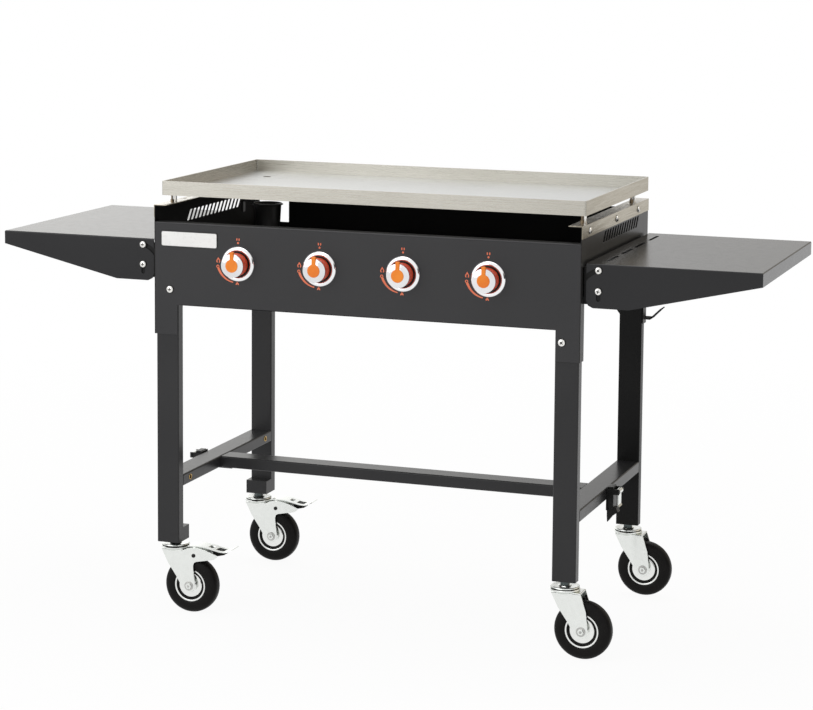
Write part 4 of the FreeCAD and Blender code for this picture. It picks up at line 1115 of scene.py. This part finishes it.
# %% [markdown]
# ## Latches and socket rings
# A black latch base sits outside each crossbar, with a plate, a column, two ears and a pin for its lever.
# Only the right one has the pointed catch that reaches below the bar. The left crossbar shows two brass rings
# on its inner face, one near each leg.

# %% Latch bases and rings
BASE_X, BAR_HIGH, BASE_Y = 462.05, 300.0, (-37.0, -3.0)
RIGHT_PLATE_LOW, LEFT_PLATE_LOW = 254.0, 276.0
PIN_X, PIN_Z, PIN_R, PIN_LONG = BASE_X + 24, BAR_HIGH - 6, 2.5, 38
SOCKET_X, SOCKET_Z, SOCKET_YS = -412.0, 288.0, (-204.0, 204.0)
LATCH_THICK, COLUMN_DEEP, COLUMN_Y, LATCH_EAR = 3, 15, (-33.9, -6.1), 6
inside_x = BASE_X + LATCH_THICK - HAIR


def latch_base(plate_low):
    """Plate, column, two ears and pin, on the right side."""
    parts = [block((BASE_X, BASE_X + LATCH_THICK), BASE_Y, (plate_low, BAR_HIGH + 3)),
             block((inside_x, BASE_X + COLUMN_DEEP), COLUMN_Y, (plate_low + 4, BAR_HIGH + 4))]
    for ear_y in (BASE_Y[0], BASE_Y[1] - LATCH_THICK):
        parts.append(block((inside_x, PIN_X + 4), (ear_y, ear_y + LATCH_THICK),
                           (PIN_Z - LATCH_EAR, PIN_Z + LATCH_EAR)))
    for part in parts:
        ease_edges(part, 0.5)
    return parts + [rod(PIN_R, 0, PIN_LONG, (PIN_X, BASE_Y[0] - 2, PIN_Z), steps=20)]


catch_edge = [(0, -38), (20, -41), (24, -50), (11, -60), (1, -73), (0, -60)]
catch = cut_sheet([(BASE_X + dx, BAR_HIGH + dz) for dx, dz in catch_edge], BASE_Y[0] + 8, BASE_Y[1] - 8)
ease_edges(catch, 0.5)
right_base = joined(latch_base(RIGHT_PLATE_LOW) + [catch])
left_base = joined(latch_base(LEFT_PLATE_LOW))
mirror_mesh(left_base, MIRROR_X)
bases = joined([right_base, left_base])
dressed(bases, "latch_base_pair", latch_coat, "root", "latch_black", "latch_bases")

rings = [turned([(0, 4.0), (0, 6.2), (1.0, 6.0), (1.2, 5.0), (0.8, 4.0)], (SOCKET_X, y, SOCKET_Z), "X", 32,
                closed=True) for y in SOCKET_YS]
dressed(joined(rings), "socket_rings", brass, "root", "brass")
print("latch bases and", len(rings), "rings done")

# %% [markdown]
# ## Casters
# Four swivel casters carry the station. The wheel has a rubber tyre with a rounded tread, a pressed rim whose
# bright lip stands out from a deep groove with a black ring in it, and a dished disc in the middle. Tyre, rim
# and ring are spun from profiles about the axle. They are made once about the origin and copied to the four
# wheels.

# %% Wheels
WHEEL_R, TYRE_HALF, TRAIL = 60.0, 16.0, 40.0
TYRE_SIDE = [(1.5, 35.5), (0.5, 37), (0.15, 40), (0.0, 44), (0.3, 48), (1.0, 51), (2.2, 54), (4.0, 56.6),
             (6.4, 58.5), (9.5, 59.6), (13, 60)]
RIM_SIDE = [(0.4, 5.1), (0.4, 11), (1.6, 12.5), (3.2, 14), (3.4, 19), (2.6, 23), (3.0, 25.2), (4.6, 26.8),
            (9.5, 27.0), (9.8, 29), (9.5, 30.8), (2.6, 31.2), (1.2, 31.8), (0.8, 33), (1.0, 34.8),
            (2.2, 35.5)]
GROOVE_RING_SIDE = [(3.4, 27.2), (3.0, 28.0), (3.0, 30.2), (3.6, 31.0), (9.0, 30.6), (9.0, 27.2)]


def both_sides(side, half):
    """Closed profile of a wheel from the outline of its near side."""
    near = [(-half + a, r) for a, r in side]
    return near + [(half - a, r) for a, r in reversed(side)]


tyre_shape = turned(both_sides(TYRE_SIDE, TYRE_HALF), (0, 0, 0), steps=96, closed=True)
rim_shape = turned(both_sides(RIM_SIDE, TYRE_HALF), (0, 0, 0), steps=72, closed=True)
rubber_ring_shape = joined([turned([(-side * (TYRE_HALF - a), r) for a, r in GROOVE_RING_SIDE], (0, 0, 0), steps=72,
                            closed=True) for side in (1, -1)])
for corner in CORNERS:
    hub = middle_of("tyre_" + corner)
    wheel = "wheel_" + corner
    copied(rubber_ring_shape, hub, "wheel_groove_ring_" + corner, rubber, wheel, "tyre_rubber")
    copied(tyre_shape, hub, "wheel_tyre_" + corner, rubber, wheel, "tyre_rubber", "tyre_" + corner)
    copied(rim_shape, hub, "wheel_rim_" + corner, rim_steel, wheel, "rim_steel", "rim_" + corner)
discard(tyre_shape, rim_shape, rubber_ring_shape)
print("wheels at", [round(v, 1) for v in hub], "mm")

# %% [markdown]
# The fork is pressed from zinc plated sheet: two tapering arms hang from a round crown, each with a crease
# down its middle, and the axle bolt goes through their rounded ends. The left casters carry a brake, so their
# arms run on to the side as a wing with the pedal's pivot in it. The arm's outline is cut as a thin sheet,
# split along the crease, pushed out there by two millimetres, and then given its thickness.

# %% One arm of a fork
ARM_T, ARM_OUT, CROWN_Z = 2.5, 18.5, 138.0
OUTER = ARM_OUT + ARM_T
AXLE_END_R = 14.0
CREASE, CREASE_X, CREASE_HALF, CREASE_LEAN, CREASE_REACH = 2.0, 23, 7, 0.06, 1.2
PIVOT, PIVOT_R, PIVOT_REACH = (51, 127), 3.3, 8
PLAIN_TOP = [(-24, CROWN_Z - 1), (38, CROWN_Z - 1), (44, 119), (50, 101), (53.6, 66)]
BRAKED_TOP = [(-24, CROWN_Z - 1), (28, CROWN_Z - 1), (36, 141.5), (45, 143.6), (61, 144), (75, 141.5),
              (88, 137.5), (107, 131), (104, 127), (97, 122), (75, 117.5), (57, 114), (52, 111), (50, 105),
              (50.5, 95), (53.6, 66)]


def arm_outline(top):
    """Arm outline in mm from the kingpin: the given run, then round the axle's end and up the near edge."""
    turnabout = [round_point(TRAIL, WHEEL_R, AXLE_END_R, degrees) for degrees in range(10, -150, -20)]
    return top + turnabout + [(12, 77), (-9, 107)]


def fork_arm(outline, side, braked):
    """One creased arm; side is -1 for the front one."""
    arm = flat_outline(outline, side * OUTER)
    for split_x in (CREASE_X - CREASE_HALF, CREASE_X, CREASE_X + CREASE_HALF):
        bpy.ops.object.mode_set(mode="EDIT")
        bpy.ops.mesh.select_all(action="SELECT")
        bpy.ops.mesh.bisect(plane_co=(split_x * MM, 0, 0), plane_no=(1, 0, CREASE_LEAN))
        bpy.ops.object.mode_set(mode="OBJECT")
    pick(arm, "vertices", lambda at, way: abs(at.x - CREASE_X + CREASE_LEAN * at.z) < CREASE_REACH)
    bpy.ops.transform.translate(value=(0, side * CREASE * MM, 0))
    face_outwards()
    bpy.ops.object.modifier_add(type="SOLIDIFY")
    wall = arm.modifiers[-1]
    wall.thickness = ARM_T * MM
    outward = arm.data.polygons[0].normal.y * side > 0
    wall.offset = -1 if outward else 1
    bpy.ops.object.modifier_apply(modifier=wall.name)
    bpy.ops.object.mode_set(mode="EDIT")
    face_outwards()
    if braked:
        centre = (PIVOT[0], side * (OUTER + 3), PIVOT[1])
        carved(arm, [rod(PIVOT_R, -PIVOT_REACH, PIVOT_REACH, centre)])
    ease_edges(arm, 0.5)
    return arm


# %% [markdown]
# A whole fork is two arms, a crown with a race on it, and the axle with a washer, a head and a tip at each
# end. The braked ones also have a pin for the pedal. The black seals and rivets are pieces of their own.

# %% Whole forks
CROWN_THICK, AXLE_R, PEDAL_PIN_R, PIN_SHORT = 4, 5, 2.5, 1.6
RACE = [(-4, 7), (-4, 22), (-1, 26), (0.4, 29.5), (1.8, 31), (3.6, 31), (4.6, 30), (5, 27), (6, 26), (6, 7)]
CROWN_SEAL = [(4.7, 15), (4.7, 28.8), (6.1, 28.8), (6.1, 15)]
AXLE_WASHER = [(0, 0), (0, 9.8), (0.5, 10), (1.0, 9.4), (1.2, 0)]
AXLE_HEAD = [(1.2, 0), (1.2, 6.8), (3.4, 6.8), (3.9, 6.2), (3.9, 0)]
AXLE_TIP = [(3.9, 0), (3.9, 3.0), (4.4, 2.6), (4.5, 0)]


def fork_shape(braked):
    """Whole fork about a kingpin at x = y = 0."""
    outline = arm_outline(BRAKED_TOP if braked else PLAIN_TOP)
    arms = [fork_arm(outline, side, braked) for side in (-1, 1)]
    crown = block((outline[0][0], outline[1][0]), (-OUTER, OUTER), (CROWN_Z - CROWN_THICK, CROWN_Z))
    ease_edges(crown, 1.6, 3)
    parts = arms + [crown, turned(RACE, (0, 0, CROWN_Z), "Z", 64, closed=True)]
    for part in parts:
        part.data.materials.append(zinc)
    for side in (-1, 1):
        for profile, steps, plating in ((AXLE_WASHER, 36, stem_steel), (AXLE_HEAD, 6, zinc),
                                        (AXLE_TIP, 20, stem_steel)):
            piece = turned(profile, (TRAIL, OUTER, WHEEL_R), steps=steps)
            piece.data.materials.append(plating)
            if side < 0:
                mirror_mesh(piece, MIRROR_Y)
            parts.append(piece)
    parts.append(rod(AXLE_R, -OUTER, OUTER, (TRAIL, 0, WHEEL_R)))
    if braked:
        reach = OUTER - PIN_SHORT
        parts.append(rod(PEDAL_PIN_R, -reach, reach, (PIVOT[0], 0, PIVOT[1]), steps=20))
    return joined(parts)


def kingpin_of(corner):
    """Place of a caster's kingpin on the floor, in mm."""
    hub = middle_of("tyre_" + corner)
    return hub.x - TRAIL, hub.y, 0


rubber_ring_shape = turned(CROWN_SEAL, (0, 0, CROWN_Z), "Z", 56, closed=True)
rivet_shape = joined([turned([(side * (OUTER - 1), 0), (side * (OUTER - 1), 4.4), (side * (OUTER + 1.2), 4.2),
                              (side * (OUTER + 1.5), 0)], (PIVOT[0], 0, PIVOT[1]), steps=24)
                      for side in (-1, 1)])
braked_fork, plain_fork = fork_shape(True), fork_shape(False)
for corner in CORNERS:
    kingpin = kingpin_of(corner)
    swivel = "swivel_" + corner
    braked = corner.endswith("left")
    copied(braked_fork if braked else plain_fork, kingpin, "caster_fork_" + corner, None, swivel, "fork_zinc",
           "fork_" + corner)
    copied(rubber_ring_shape, kingpin, "caster_seal_" + corner, rubber, swivel, "tyre_rubber")
    if braked:
        copied(rivet_shape, kingpin, "caster_rivets_" + corner, latch_coat, swivel, "latch_black")
discard(braked_fork, plain_fork, rubber_ring_shape, rivet_shape)
print("forks on", len(CORNERS), "casters")

# %% [markdown]
# The brake pedal is a bent plate over the fork. It dips behind its window and its tip turns up for the toe.
# Its side view is cut as a sheet across the fork's width, the window is taken out, and a barrel holds it on
# the pivot, with a black pad under the window.

# %% Pedals
PEDAL_HALF, PEDAL_T, BARREL_HALF = 17.5, 2.0, 17
PEDAL_RUN = [(35.5, 146), (40, 147), (52, 148.2), (64, 148), (80, 146.2), (94, 143.2), (108, 140.6),
             (120, 140), (128, 142.5), (139, 148)]
PAD_EDGE = [(90, 142), (118, 138.4), (121, 138.2), (118, 132), (104, 128.5), (92, 132)]

plate = cut_sheet(PEDAL_RUN + [(x + 0.4, z - PEDAL_T) for x, z in reversed(PEDAL_RUN)],
                  -PEDAL_HALF, PEDAL_HALF)
window = block((98, 117), (-10, 10), (130, 155))
slit = block((80, 90), (-8, 8), (136, 155))
carved(plate, [window, slit])
ease_edges(plate, 0.45)
barrel = turned([(-BARREL_HALF, 2.6), (-BARREL_HALF, 5.5), (BARREL_HALF, 5.5), (BARREL_HALF, 2.6)],
                (PIVOT[0], 0, PIVOT[1]), steps=28, closed=True)
web = block((47.5, 54.5), (-BARREL_HALF, BARREL_HALF), (131, 147))
ease_edges(web, 0.6)
pedal_shape = joined([plate, barrel, web])
pad_shape = cut_sheet(PAD_EDGE, -11, 11)
ease_edges(pad_shape, 0.8)
for corner in CORNERS[:2]:
    pedal = "pedal_" + corner
    copied(pedal_shape, kingpin_of(corner), "caster_" + pedal, zinc, pedal, "fork_zinc", pedal)
    copied(pad_shape, kingpin_of(corner), "caster_pad_" + corner, rubber, pedal, "tyre_rubber")
discard(pedal_shape, pad_shape)
print("pedals", 2 * PEDAL_HALF, "mm wide")

# %% [markdown]
# The stem above the fork is a hexagon nut, a threaded bolt and the upper race, all fixed to the leg.

# %% Stems
UPPER_RACE = [(0, 0), (0, 26), (0.4, 29.2), (1.6, 30), (2.8, 29.4), (3.4, 27.4), (2.6, 24), (2.4, 14),
              (4, 12), (4, 0)]
THREADS, THREAD_LOW = 10, 4
NUT_R, NUT_TALL, NUT_Z = 10, 7.5, 7.75
stem_low = CROWN_Z + 6.3

race_top = turned(UPPER_RACE, (0, 0, stem_low), "Z", 64)
pin = turned([(CROWN_Z - 9, 0), (CROWN_Z - 9, 9), (CROWN_Z - 5.5, 9), (CROWN_Z - 5.5, 5.9), (stem_low, 5.9),
              (stem_low, 0)], (0, 0, 0), "Z", 28)
clear_selection()
bpy.ops.mesh.primitive_cylinder_add(vertices=6, radius=NUT_R * MM, depth=NUT_TALL * MM,
                                    location=(0, 0, (stem_low + NUT_Z) * MM))
bpy.ops.object.transform_apply(location=True)
nut = bpy.context.object
ease_edges(nut, 0.7, 2, 40)
thread = [(THREAD_LOW, 0)]
for i in range(THREADS):
    thread += [(THREAD_LOW + i, 5.4), (THREAD_LOW + 0.5 + i, 5.95)]
thread.append((THREAD_LOW + THREADS, 0))
shaft_shape = joined([nut, turned(thread, (0, 0, stem_low), "Z", 28)])
stem_shape = joined([race_top, pin])
for corner in CORNERS:
    nodes = ["caster_stems"] if corner == CORNERS[0] else []
    copied(stem_shape, kingpin_of(corner), "caster_stem_" + corner, zinc, "root", "fork_zinc", *nodes)
    copied(shaft_shape, kingpin_of(corner), "caster_shaft_" + corner, dark_steel, "root", "fork_zinc")
discard(stem_shape, shaft_shape)
print("stems from z", round(stem_low, 1), "mm up")

# %% [markdown]
# The last cell prints the size of the finished model's box.

# %% Sizes and finish
low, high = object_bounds()
print("visual box", [round(v, 3) for v in high - low])
